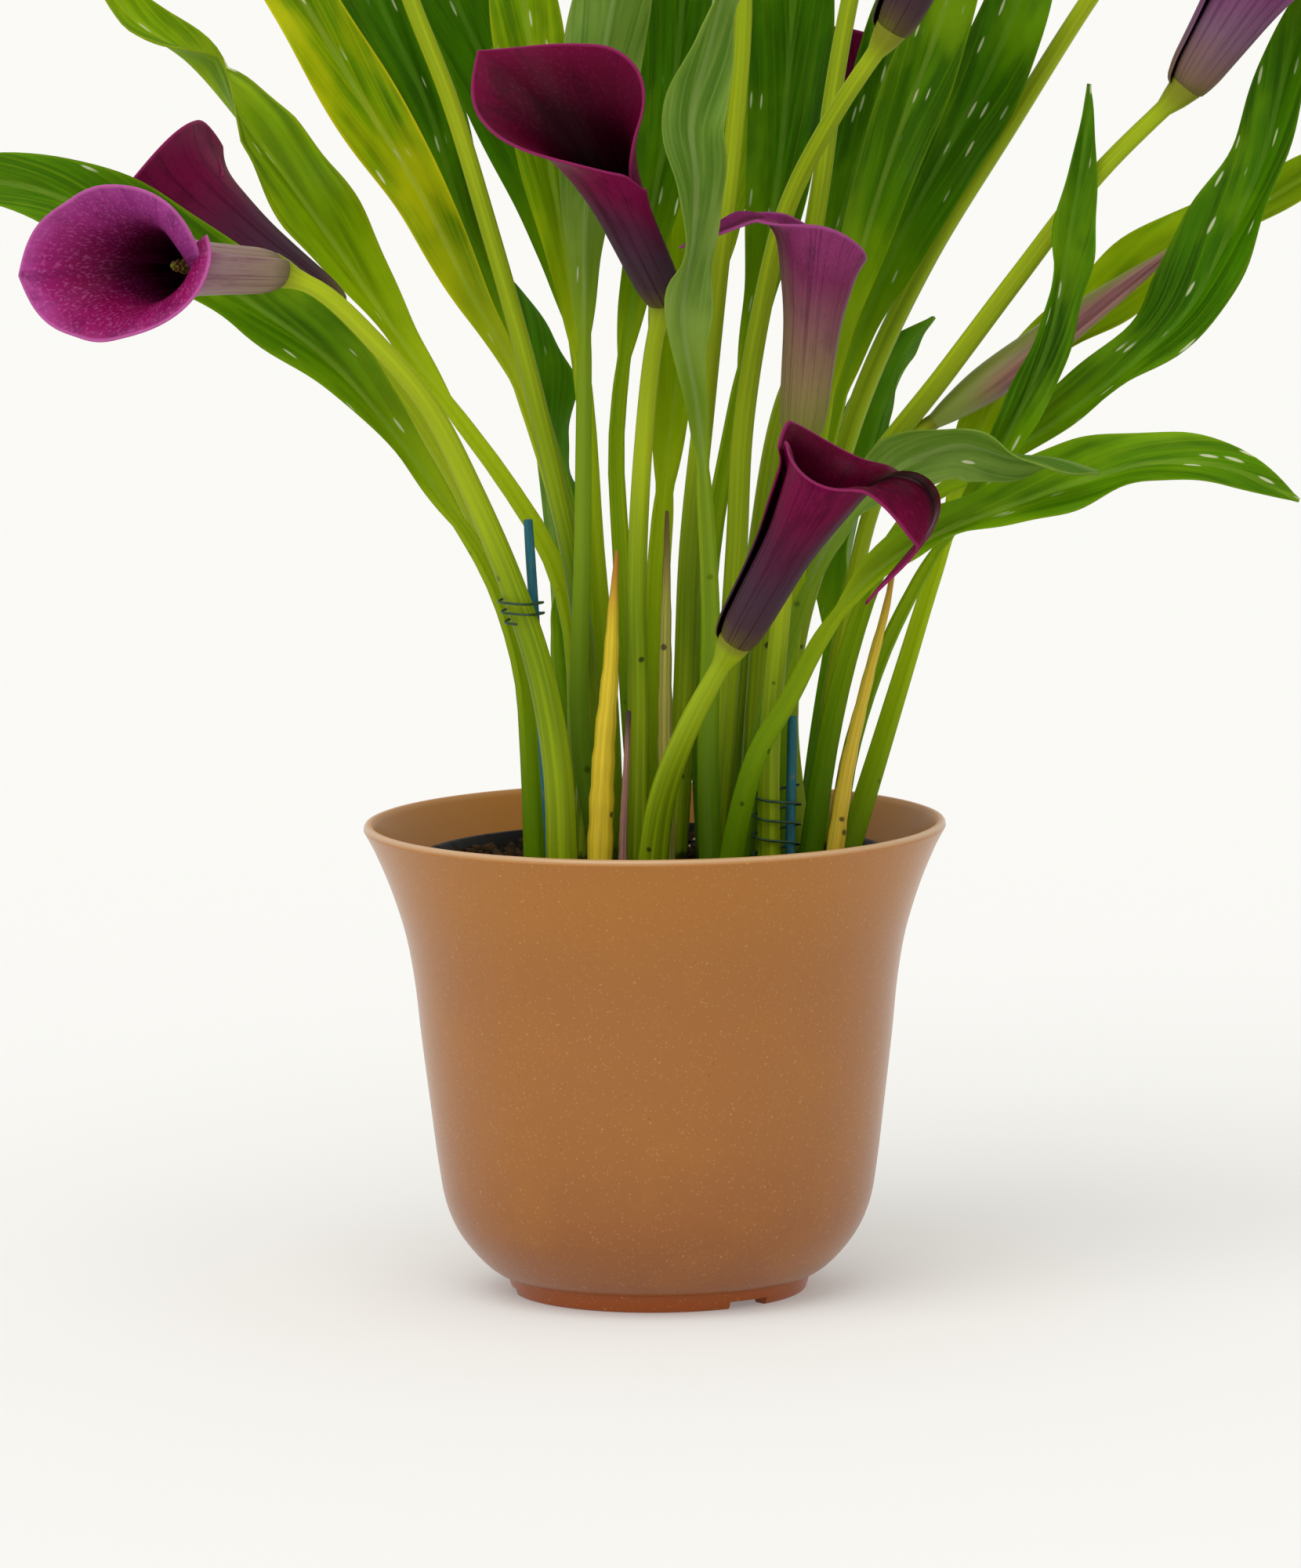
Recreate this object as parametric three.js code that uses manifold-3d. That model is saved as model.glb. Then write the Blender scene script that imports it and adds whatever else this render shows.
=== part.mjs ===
// Potted calla lily: a clump of calla lilies in a nursery pot, standing in a six inch decorative pot.
// Millimetres, +Z up. The origin is on the surface that the pot stands on, under the middle of the pot.
// +X is the viewer's right and -Y faces the viewer.
import * as THREE from 'three';
import { mergeVertices } from 'three/addons/utils/BufferGeometryUtils.js';
import Module from 'manifold-3d';

const wasm = await Module();
wasm.setup();

// Clearance between pieces that touch.
const gap = 0.3;

// Decorative pot: 6 inches across its rim.
const rimRadius = 76.2;
const potHeight = 124;
const potWall = 2.4;
const potFloorTop = 7.4;
const footRadius = 38.5;
const footRingWidth = 4.5;
const footHeight = 4.6;
const potSegments = 32;
const notchWidth = 12;
const notchHeight = 2;
const notchAngles = [-53, 67, 187];
const potDrainRadius = 4;
const potDrainCircle = 22;

// Nursery pot, which stands on the floor of the decorative pot.
const nurseryWall = 0.9;
const nurseryBottomRadius = 41;
const nurseryTopRadius = 61.5;
const nurseryTop = 115;
const nurserySegments = 24;
const nurseryDrainRadius = 5;
const nurseryDrainCircle = 24;

// Soil and the two tubers in it.
const soilTop = 111;
const soilRoughness = 0.9;
const stemExit = 113.6;
const tuberTop = 80;
const tuberHalfHeight = 9;
const tuberHalfWidth = 19;
const tuberHalfDepth = 32;
const tuberCentres = { left: [-12, 0], right: [32, 0] };
const rootGather = 0.8;

// Plant tissue.
const leafThickness = 0.8;
const spatheThickness = 0.8;
const stemSides = 6;

// Colours of the materials, with their roughness.
const finishes = {
  pot: [0xa47040, 0.55],
  nursery: [0x141412, 0.5],
  soil: [0x2e2313, 0.95],
  tuber: [0x8a6a44, 0.9],
  stick: [0x1f7a80, 0.6],
  wire: [0x1f4a2a, 0.5],
  leaf: [0x6a9216, 0.5],
  leafDark: [0x2f5a06, 0.45],
  leafPale: [0x79923f, 0.55],
  stalk: [0x8ba01c, 0.5],
  sheathYellow: [0xab9903, 0.6],
  sheathPink: [0xb08078, 0.6],
  sheathBrown: [0x7a5a2a, 0.7],
  spathePink: [0xa63d8f, 0.45],
  spatheDark: [0x6a0f3a, 0.4],
  spatheMauve: [0x7c405d, 0.45],
  bud: [0x7b4f4a, 0.5],
};

const model = new THREE.Group();
const holeCutters = [];

function vec(values) {
  return new THREE.Vector3(values[0], values[1], values[2]);
}

// Closed mesh data from points and triangles, turned round if its faces point inwards.
function closedGeometry(points, triangles) {
  let volume = 0;
  for (const [a, b, c] of triangles) {
    volume += points[a].dot(new THREE.Vector3().crossVectors(points[b], points[c]));
  }
  const ordered = volume < 0 ? triangles.map(([a, b, c]) => [a, c, b]) : triangles;
  const geometry = new THREE.BufferGeometry();
  geometry.setAttribute('position', new THREE.Float32BufferAttribute(points.flatMap((p) => [p.x, p.y, p.z]), 3));
  geometry.setIndex(ordered.flat());
  return geometry;
}

// Welds a three.js geometry and makes its faces point out.
function weld(source) {
  const bare = source.clone();
  bare.deleteAttribute('normal');
  bare.deleteAttribute('uv');
  const merged = mergeVertices(bare, 1e-4);
  const points = [];
  for (let i = 0; i < merged.attributes.position.count; i++) {
    points.push(new THREE.Vector3().fromBufferAttribute(merged.attributes.position, i));
  }
  const triangles = [];
  for (let i = 0; i < merged.index.count; i += 3) {
    const corners = [merged.index.getX(i), merged.index.getX(i + 1), merged.index.getX(i + 2)];
    if (new Set(corners).size === 3) {
      triangles.push(corners);
    }
  }
  return closedGeometry(points, triangles);
}

function toSolid(geometry) {
  const vertProperties = new Float32Array(geometry.attributes.position.array);
  const triVerts = new Uint32Array(geometry.index.array);
  return new wasm.Manifold(new wasm.Mesh({ numProp: 3, vertProperties, triVerts }));
}

function fromSolid(solid) {
  const mesh = solid.getMesh();
  const geometry = new THREE.BufferGeometry();
  geometry.setAttribute('position', new THREE.Float32BufferAttribute(Array.from(mesh.vertProperties), 3));
  geometry.setIndex(Array.from(mesh.triVerts));
  return geometry;
}

function add(name, geometry, finish) {
  const [color, roughness] = finishes[finish];
  const drawn = geometry.toNonIndexed();
  drawn.computeVertexNormals();
  const mesh = new THREE.Mesh(drawn, new THREE.MeshStandardMaterial({ color, roughness, metalness: 0 }));
  mesh.name = name;
  model.add(mesh);
}

// Solid of revolution about Z from [radius, height] points that start and end on the axis.
function turned(outline, segments) {
  const lathe = new THREE.LatheGeometry(outline.map(([r, z]) => new THREE.Vector2(r, z)), segments);
  lathe.rotateX(Math.PI / 2);
  return weld(lathe);
}

// Closed body through rings of equally many points, with flat ends.
function loft(rings) {
  const sides = rings[0].length;
  const points = rings.flat();
  const triangles = [];
  for (let i = 0; i < rings.length - 1; i++) {
    for (let j = 0; j < sides; j++) {
      const a = i * sides + j;
      const b = i * sides + ((j + 1) % sides);
      triangles.push([a, b, b + sides], [a, b + sides, a + sides]);
    }
  }
  const last = (rings.length - 1) * sides;
  for (let j = 1; j < sides - 1; j++) {
    triangles.push([0, j + 1, j], [last, last + j, last + j + 1]);
  }
  return closedGeometry(points, triangles);
}

// Closed body between two grids of points, whose faces are split alike.
function sheet(top, bottom) {
  const rows = top.length;
  const columns = top[0].length;
  const points = [...top.flat(), ...bottom.flat()];
  const under = rows * columns;
  const triangles = [];
  const quad = (a, b, c, d) => triangles.push([a, b, c], [a, c, d]);
  for (let i = 0; i < rows - 1; i++) {
    for (let j = 0; j < columns - 1; j++) {
      const a = i * columns + j;
      const c = a + columns + 1;
      triangles.push([a, a + 1, c], [a, c, c - 1]);
      triangles.push([under + a, under + c, under + a + 1], [under + a, under + c - 1, under + c]);
    }
    const left = i * columns;
    const right = left + columns - 1;
    quad(left, left + columns, under + left + columns, under + left);
    quad(right, under + right, under + right + columns, right + columns);
  }
  for (let j = 0; j < columns - 1; j++) {
    const end = (rows - 1) * columns + j;
    quad(j, under + j, under + j + 1, j + 1);
    quad(end, end + 1, under + end + 1, under + end);
  }
  return closedGeometry(points, triangles);
}

// Directions across a path: 'side' is to its side and 'face' is as near as possible to the wanted one.
function crossFrame(tangent, wanted, turnDegrees = 0) {
  const side = new THREE.Vector3().crossVectors(tangent, wanted).normalize();
  const face = new THREE.Vector3().crossVectors(side, tangent).normalize();
  const turn = THREE.MathUtils.degToRad(turnDegrees);
  side.applyAxisAngle(tangent, turn);
  face.applyAxisAngle(tangent, turn);
  return { side, face };
}

function ring(centre, tangent, radius, sides = stemSides) {
  const { side, face } = crossFrame(tangent, new THREE.Vector3(0, -1, 0));
  const points = [];
  for (let k = 0; k < sides; k++) {
    const angle = (2 * Math.PI * k) / sides;
    const point = centre.clone();
    point.addScaledVector(side, radius * Math.cos(angle));
    point.addScaledVector(face, radius * Math.sin(angle));
    points.push(point);
  }
  return points;
}

// Height of the top of the nearest tuber under a point, and where a shoot that leaves the soil there starts.
function tuberOf(exit) {
  return exit[0] < 10 ? 'left' : 'right';
}

function tuberSurface(tuber, x, y) {
  const [cx, cy] = tuberCentres[tuber];
  const reach = Math.min(1, ((x - cx) / tuberHalfWidth) ** 2 + ((y - cy) / tuberHalfDepth) ** 2);
  return tuberTop - tuberHalfHeight + tuberHalfHeight * Math.sqrt(1 - reach * reach);
}

function rootPoint(exit, radius) {
  const tuber = tuberOf(exit);
  const [cx, cy] = tuberCentres[tuber];
  const x = cx + (exit[0] - cx) * rootGather;
  const y = cy + (exit[1] - cy) * rootGather;
  const around = [[0, 0], [radius, 0], [-radius, 0], [0, radius], [0, -radius]];
  const heights = around.map(([dx, dy]) => tuberSurface(tuber, x + dx, y + dy));
  return new THREE.Vector3(x, y, Math.max(...heights) + 2 * gap);
}

// Plain hole that clears a stem between the tuber and the air. 'spare' widens it for stems that aren't round.
function cutHole(exit, radius, spare = 1.05) {
  const sides = 6;
  const start = rootPoint(exit, radius);
  const end = vec([exit[0], exit[1], stemExit]);
  const along = end.clone().sub(start).normalize();
  const below = start.clone().addScaledVector(along, -4);
  const above = end.clone().addScaledVector(along, 3);
  const holeRadius = radius * spare + gap / Math.cos(Math.PI / sides);
  holeCutters.push(loft([ring(below, along, holeRadius, sides), ring(above, along, holeRadius, sides)]));
}

// Stations along a shoot: its root, its exit from the soil, then the given fractions of its free length.
function shootStations(exit, path, fractions, radius) {
  const start = rootPoint(exit, radius);
  const out = vec([exit[0], exit[1], stemExit]);
  const curve = new THREE.CatmullRomCurve3([out, ...path.map(vec)], false, 'centripetal');
  const straight = out.clone().sub(start).normalize();
  const stations = [{ centre: start, tangent: straight, at: -1 }];
  stations.push({ centre: out, tangent: straight.clone().add(curve.getTangentAt(0)).normalize(), at: 0 });
  for (const at of fractions) {
    stations.push({ centre: curve.getPointAt(at), tangent: curve.getTangentAt(at), at });
  }
  return stations;
}

function evenSteps(from, to, count) {
  return Array.from({ length: count }, (unused, k) => from + ((to - from) * (k + 1)) / count);
}

// Value at t in 0..1 along an evenly spaced list.
function blendList(list, t) {
  const place = Math.min(0.9999, Math.max(0, t)) * (list.length - 1);
  const k = Math.floor(place);
  return list[k] + (list[k + 1] - list[k]) * (place - k);
}

function smooth(low, high, value) {
  return THREE.MathUtils.smoothstep(value, low, high);
}

// Leaf: a rounded petiole that opens into a folded blade with waved edges.
const leafColumns = [-1, -0.5, 0, 0.5, 1];
const petioleSteps = 2;
const petioleTaper = 0.3;
const bladeSteps = 9;

function makeLeaf(leaf) {
  const { exit, path, blade, width, face = [0, -1, 0], turn = [0, 0, 0], finish = 'leaf' } = leaf;
  const { petiole = 3.2, fold = 24, waves = 2.7, swing = 2.6, phase = 0 } = leaf;
  const fractions = [...evenSteps(0, blade, petioleSteps), ...evenSteps(blade, 1, bladeSteps)];
  const stations = shootStations(exit, path, fractions, petiole);
  const wanted = vec(face).normalize();
  const middle = stations.map(({ centre, tangent, at }) => {
    const t = Math.max(0, (at - blade) / (1 - blade));
    const open = smooth(0, 0.2, t);
    const stem = petiole * (1 - petioleTaper * Math.min(1, Math.max(0, at) / blade));
    const { side, face: up } = crossFrame(tangent, wanted, blendList(turn, t));
    const shape = 3.91 * Math.pow(t, 1.15) * Math.pow(Math.max(0, 1 - t), 0.85);
    const half = Math.max(stem * (1 - open) + 0.5 * open, width * shape);
    const angle = THREE.MathUtils.degToRad(open * (fold + 28 * (1 - t) ** 2));
    return leafColumns.map((a) => {
      const beat = Math.sin(2 * Math.PI * waves * t + phase + 1.9 * Math.sign(a));
      const wave = swing * open * Math.sin(Math.PI * t) * beat;
      const point = centre.clone();
      point.addScaledVector(side, a * half * Math.cos(angle));
      point.addScaledVector(up, Math.abs(a) * half * Math.sin(angle) + a * a * wave);
      return { point, up, open, stem };
    });
  });
  const faces = [1, -1].map((sign) => middle.map((row) => row.map(({ point, up, open, stem }, j) => {
    const round = stem * Math.max(0.36, Math.sqrt(1 - leafColumns[j] ** 2));
    const rib = leafThickness / 2 + (leafColumns[j] === 0 && sign < 0 ? 0.7 * open : 0);
    const offset = round * (1 - open) + rib * open;
    return point.clone().addScaledVector(up, sign * offset);
  })));
  add(leaf.name, sheet(faces[0], faces[1]), finish);
  cutHole(exit, petiole, 1.2);
}

// Spathe: a sheet rolled round the spadix, longest at the back, where it ends in a bent point.
const spatheColumns = [-200, -158, -114, -72, -34, 0, 34, 72, 114, 158, 200];
const spatheRows = [0, 0.13, 0.3, 0.48, 0.64, 0.78, 0.9, 1];
const spatheWind = 0.26;
const spatheSpread = 2.2;
const spatheTuck = 15;
const spatheRounding = 6;
const neckRadius = 2.2;

function spatheLength(degrees, flower) {
  const { length = 62, front = 54, point = 24, taper = 13 } = flower;
  const away = Math.abs(degrees);
  const tucked = spatheTuck * smooth(140, 200, -degrees) + spatheRounding * smooth(165, 200, degrees);
  const body = length + (front - length) * smooth(60, 200, away) - tucked;
  return body + point * Math.exp(-away / taper) * (1 - 0.2 * smooth(0, 60, away));
}

function spatheOutline(degrees, flower) {
  const { flareBack = 150, flareSide = 50, flareFront = 45, onset = 32, settle = 200, cone = 12 } = flower;
  const away = Math.abs(degrees);
  const reach = spatheLength(degrees, flower);
  const sideFlare = flareBack + (flareSide - flareBack) * smooth(0, 60, away);
  const flare = sideFlare + (flareFront - flareSide) * smooth(90, 190, away);
  const bend = 1.15 + 0.85 * smooth(10, 70, away);
  const from = Math.min(onset, reach - 12);
  const to = Math.min(settle, reach);
  const outline = [];
  let radius = (flower.neck ?? neckRadius) + 1.6;
  let height = 0.4;
  const steps = 60;
  const stride = reach / steps;
  for (let k = 0; k <= steps; k++) {
    outline.push([radius, height]);
    const s = (k + 0.5) * stride;
    const tube = cone + 40 * (1 - smooth(0, 2, s)) - 9.5 * smooth(2, 9, s) + 8 * smooth(22, 40, s);
    const angle = THREE.MathUtils.degToRad(tube + (flare - 11) * smooth(from, to, s) ** bend);
    radius += Math.sin(angle) * stride;
    height += Math.cos(angle) * stride;
  }
  return outline;
}

function flowerFrame(flower) {
  const axis = vec(flower.axis).normalize();
  const across = new THREE.Vector3().crossVectors(axis, vec(flower.back)).normalize();
  const back = new THREE.Vector3().crossVectors(across, axis).normalize();
  return { base: vec(flower.path.at(-1)), axis, across, back };
}

function makeSpathe(flower) {
  const { base, axis, across, back } = flowerFrame(flower);
  const place = (radius, height, angle) => {
    const point = base.clone().addScaledVector(axis, height);
    point.addScaledVector(back, radius * Math.cos(angle));
    return point.addScaledVector(across, radius * Math.sin(angle));
  };
  const columns = spatheColumns.map((degrees) => {
    const outline = spatheOutline(degrees, flower);
    const angle = THREE.MathUtils.degToRad(degrees);
    const apart = Math.sign(degrees) * spatheSpread * smooth(120, 200, Math.abs(degrees));
    return spatheRows.map((v) => {
      const lean = spatheWind * angle + apart * smooth(0.25, 0.9, v);
      const k = Math.min(outline.length - 2, Math.floor(v * (outline.length - 1)));
      const part = v * (outline.length - 1) - k;
      const [r0, h0] = outline[k];
      const [r1, h1] = outline[k + 1];
      const slope = Math.atan2(r1 - r0, h1 - h0);
      const radius = r0 + (r1 - r0) * part + lean * Math.cos(slope);
      const height = h0 + (h1 - h0) * part - lean * Math.sin(slope);
      const inward = [-Math.cos(slope), Math.sin(slope)];
      return [1, -1].map((sign) => {
        const shift = (sign * spatheThickness) / 2;
        return place(radius + inward[0] * shift, height + inward[1] * shift, angle);
      });
    });
  });
  const faces = [0, 1].map((k) => spatheRows.map((v, i) => columns.map((column) => column[i][k])));
  add(`spathe_${flower.number}`, sheet(faces[0], faces[1]), flower.finish);
}

// Stalk of a flower, which ends in its spadix inside the spathe.
const spadix = [[3, 2.3], [9, 2.6], [26, 2.5], [34, 1.9], [38, 0.7]];

function makeStalk(flower) {
  const { exit, path, thick = 3.3, neck = neckRadius } = flower;
  const stations = shootStations(exit, path, evenSteps(0, 1, 6), thick);
  const rings = stations.map(({ centre, tangent, at }) => {
    const thinned = thick - (thick - neck) * Math.max(0, at);
    return ring(centre, tangent, thinned);
  });
  const { base, axis } = flowerFrame(flower);
  for (const [height, radius] of spadix) {
    rings.push(ring(base.clone().addScaledVector(axis, height), axis, radius));
  }
  add(`flower_stalk_${flower.number}`, loft(rings), 'stalk');
  cutHole(exit, thick);
}

// Tapered shoot with rings at given fractions of its length, for sheaths and the stalk of the bud.
function makeShoot(name, exit, path, radii, finish) {
  const steps = radii.length - 1;
  const stations = shootStations(exit, path, evenSteps(0, 1, steps), radii[0]);
  const rings = stations.map(({ centre, tangent, at }) => {
    return ring(centre, tangent, blendList(radii, Math.max(0, at)));
  });
  add(name, loft(rings), finish);
  cutHole(exit, radii[0]);
}

// Decorative pot with its rolled rim, foot ring, notches and drain holes.
function makePot() {
  const wallPoints = [
    [40, footHeight], [43.1, 5.8], [48.2, 10.4], [52.9, 16.8], [55.8, 23.9], [57.6, 34],
    [61.7, 67.4], [63.3, 82.5], [65.3, 94], [67.9, 103.1], [73.8, 118],
  ];
  const rim = [[rimRadius, 122.4], [75.8, 123.7], [75, potHeight], [74, 123.6], [73.2, 122.4]];
  const innerPoints = [wallPoints[4], wallPoints[6], wallPoints[8], wallPoints[10]];
  const inside = innerPoints.map(([r, z]) => [r - potWall, z + 0.5]).reverse();
  const outline = [
    [0, footHeight - 1], [footRadius - footRingWidth, footHeight - 1], [footRadius - footRingWidth, 0],
    [footRadius, 0],
    ...wallPoints, ...rim, ...inside, [45.5, 10.6], [43.5, potFloorTop], [0, potFloorTop],
  ];
  let pot = toSolid(turned(outline, potSegments));
  for (const degrees of notchAngles) {
    const notch = new THREE.BoxGeometry(footRingWidth * 3, notchWidth, notchHeight * 2);
    notch.translate(footRadius - footRingWidth / 2, 0, 0);
    notch.rotateZ(THREE.MathUtils.degToRad(degrees));
    pot = pot.subtract(toSolid(weld(notch)));
  }
  pot = pot.subtract(drainHoles(potDrainCircle, potDrainRadius, 4, 30, 0, 12));
  add('pot', fromSolid(pot), 'pot');
}

function drainHoles(circle, radius, count, firstDegrees, low, high) {
  let holes = null;
  for (let k = 0; k < count; k++) {
    const angle = THREE.MathUtils.degToRad(firstDegrees + (360 / count) * k);
    const drill = new THREE.CylinderGeometry(radius, radius, high - low, 10);
    drill.rotateX(Math.PI / 2);
    drill.translate(circle * Math.cos(angle), circle * Math.sin(angle), (low + high) / 2);
    const solid = toSolid(weld(drill));
    holes = holes ? holes.add(solid) : solid;
  }
  return holes;
}

const nurseryFloor = potFloorTop + gap;

function nurseryRadius(z) {
  const rise = (z - nurseryFloor) / (nurseryTop - nurseryFloor);
  return nurseryBottomRadius + (nurseryTopRadius - nurseryBottomRadius) * rise;
}

function makeNurseryPot() {
  const floorTop = nurseryFloor + nurseryWall;
  const outline = [
    [0, nurseryFloor], [nurseryBottomRadius, nurseryFloor], [nurseryRadius(111), 111],
    [nurseryTopRadius + 0.8, 111.5], [nurseryTopRadius + 1, nurseryTop],
    [nurseryTopRadius - nurseryWall + 0.4, nurseryTop], [nurseryRadius(111) - nurseryWall, 111],
    [nurseryRadius(floorTop) - nurseryWall, floorTop], [0, floorTop],
  ];
  const body = toSolid(turned(outline, nurserySegments));
  const holes = drainHoles(nurseryDrainCircle, nurseryDrainRadius, 6, 0, 0, 14);
  add('nursery_pot', fromSolid(body.subtract(holes)), 'nursery');
}

// Tuber: a flattened round cushion. 'grow' makes the hollow that it lies in.
function tuberBody(tuber, grow) {
  const [cx, cy] = tuberCentres[tuber];
  const outline = [];
  const steps = 6;
  for (let k = 0; k <= steps; k++) {
    const angle = (Math.PI * k) / steps - Math.PI / 2;
    const reach = Math.sqrt(Math.cos(angle));
    outline.push([k % steps === 0 ? 0 : reach, (tuberHalfHeight + grow) * Math.sin(angle)]);
  }
  const lathe = new THREE.LatheGeometry(outline.map(([r, z]) => new THREE.Vector2(r, z)), 10);
  lathe.rotateX(Math.PI / 2);
  lathe.scale(tuberHalfWidth + grow, tuberHalfDepth + grow, 1);
  lathe.translate(cx, cy, tuberTop - tuberHalfHeight);
  return weld(lathe);
}

// Uneven height of the soil, worked out from waves of several lengths.
function soilHeight(x, y) {
  const coarse = Math.sin(x * 0.21 + 1.3) * Math.cos(y * 0.17 - 0.4);
  const fine = Math.sin(x * 0.53 - y * 0.41 + 2.1);
  return soilTop + soilRoughness * (0.6 * coarse + 0.4 * fine);
}

function makeSoil() {
  const bottom = nurseryFloor + nurseryWall + gap;
  const segments = 24;
  const rings = [];
  const addRing = (radius, height) => {
    const points = [];
    for (let k = 0; k < segments; k++) {
      const angle = (2 * Math.PI * k) / segments;
      const x = radius * Math.cos(angle);
      const y = radius * Math.sin(angle);
      points.push(new THREE.Vector3(x, y, height ?? soilHeight(x, y)));
    }
    rings.push(points);
  };
  const inset = nurseryWall + 2 * gap;
  addRing(nurseryRadius(bottom) - inset, bottom);
  addRing(nurseryRadius(109) - inset, 109);
  for (const share of [0.97, 0.5]) {
    addRing((nurseryRadius(109) - inset) * share);
  }
  let soil = toSolid(loft(rings));
  for (const cutter of holeCutters) {
    soil = soil.subtract(toSolid(cutter));
  }
  for (const tuber of ['left', 'right']) {
    soil = soil.subtract(toSolid(tuberBody(tuber, gap)));
    add(`tuber_${tuber}`, tuberBody(tuber, 0), 'tuber');
  }
  add('soil', fromSolid(soil), 'soil');
}

// Stick pushed into the soil, and wire wound round it and the stem that it holds.
const stickRadius = 1.3;
const wireRadius = 0.45;

function makeStick(name, top, exit) {
  const high = vec(top);
  const ground = vec([exit[0], exit[1], stemExit]);
  const along = high.clone().sub(ground).normalize();
  const low = ground.clone().addScaledVector(along, -20);
  add(name, loft([ring(low, along, stickRadius, 6), ring(high, along, stickRadius, 6)]), 'stick');
  const below = low.clone().addScaledVector(along, -gap);
  const above = ground.clone().addScaledVector(along, 3);
  const holeRadius = stickRadius + gap * 1.3;
  holeCutters.push(loft([ring(below, along, holeRadius, 6), ring(above, along, holeRadius, 6)]));
}

// 'stem' and 'stick' each give a line by its points at the low and the high end of the tie.
function makeTie(name, stem, stick, stemRadius, turns) {
  const steps = Math.round(turns * 8);
  const clear = wireRadius + gap + 0.25;
  const centres = [];
  for (let k = 0; k <= steps; k++) {
    const t = k / steps;
    const angle = 2 * Math.PI * turns * t;
    const a = vec(stem[0]).lerp(vec(stem[1]), t);
    const b = vec(stick[0]).lerp(vec(stick[1]), t);
    const along = b.clone().sub(a).setZ(0);
    const half = along.length() / 2;
    along.normalize();
    const square = new THREE.Vector3(-along.y, along.x, 0);
    const share = (1 - Math.cos(angle)) / 2;
    const thick = stemRadius + (stickRadius - stemRadius) * share + clear;
    const centre = a.clone().lerp(b, 0.5);
    const reach = Math.cos(angle) > 0 ? stemRadius + clear : stickRadius + clear;
    centre.addScaledVector(along, -Math.cos(angle) * (half + reach));
    const bow = Math.sign(Math.sin(angle)) * Math.sqrt(Math.abs(Math.sin(angle)));
    centre.addScaledVector(square, bow * thick * 1.12);
    centres.push(centre);
  }
  const rings = centres.map((centre, k) => {
    const before = centres[Math.max(0, k - 1)];
    const after = centres[Math.min(steps, k + 1)];
    const tangent = after.clone().sub(before).normalize();
    const side = new THREE.Vector3().crossVectors(tangent, new THREE.Vector3(0, 0, 1)).normalize();
    const up = new THREE.Vector3().crossVectors(side, tangent);
    return [[1, 0], [0, 1], [-1, 0], [0, -1]].map(([s, u]) => {
      return centre.clone().addScaledVector(side, s * wireRadius).addScaledVector(up, u * wireRadius);
    });
  });
  add(name, loft(rings), 'wire');
}

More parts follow.
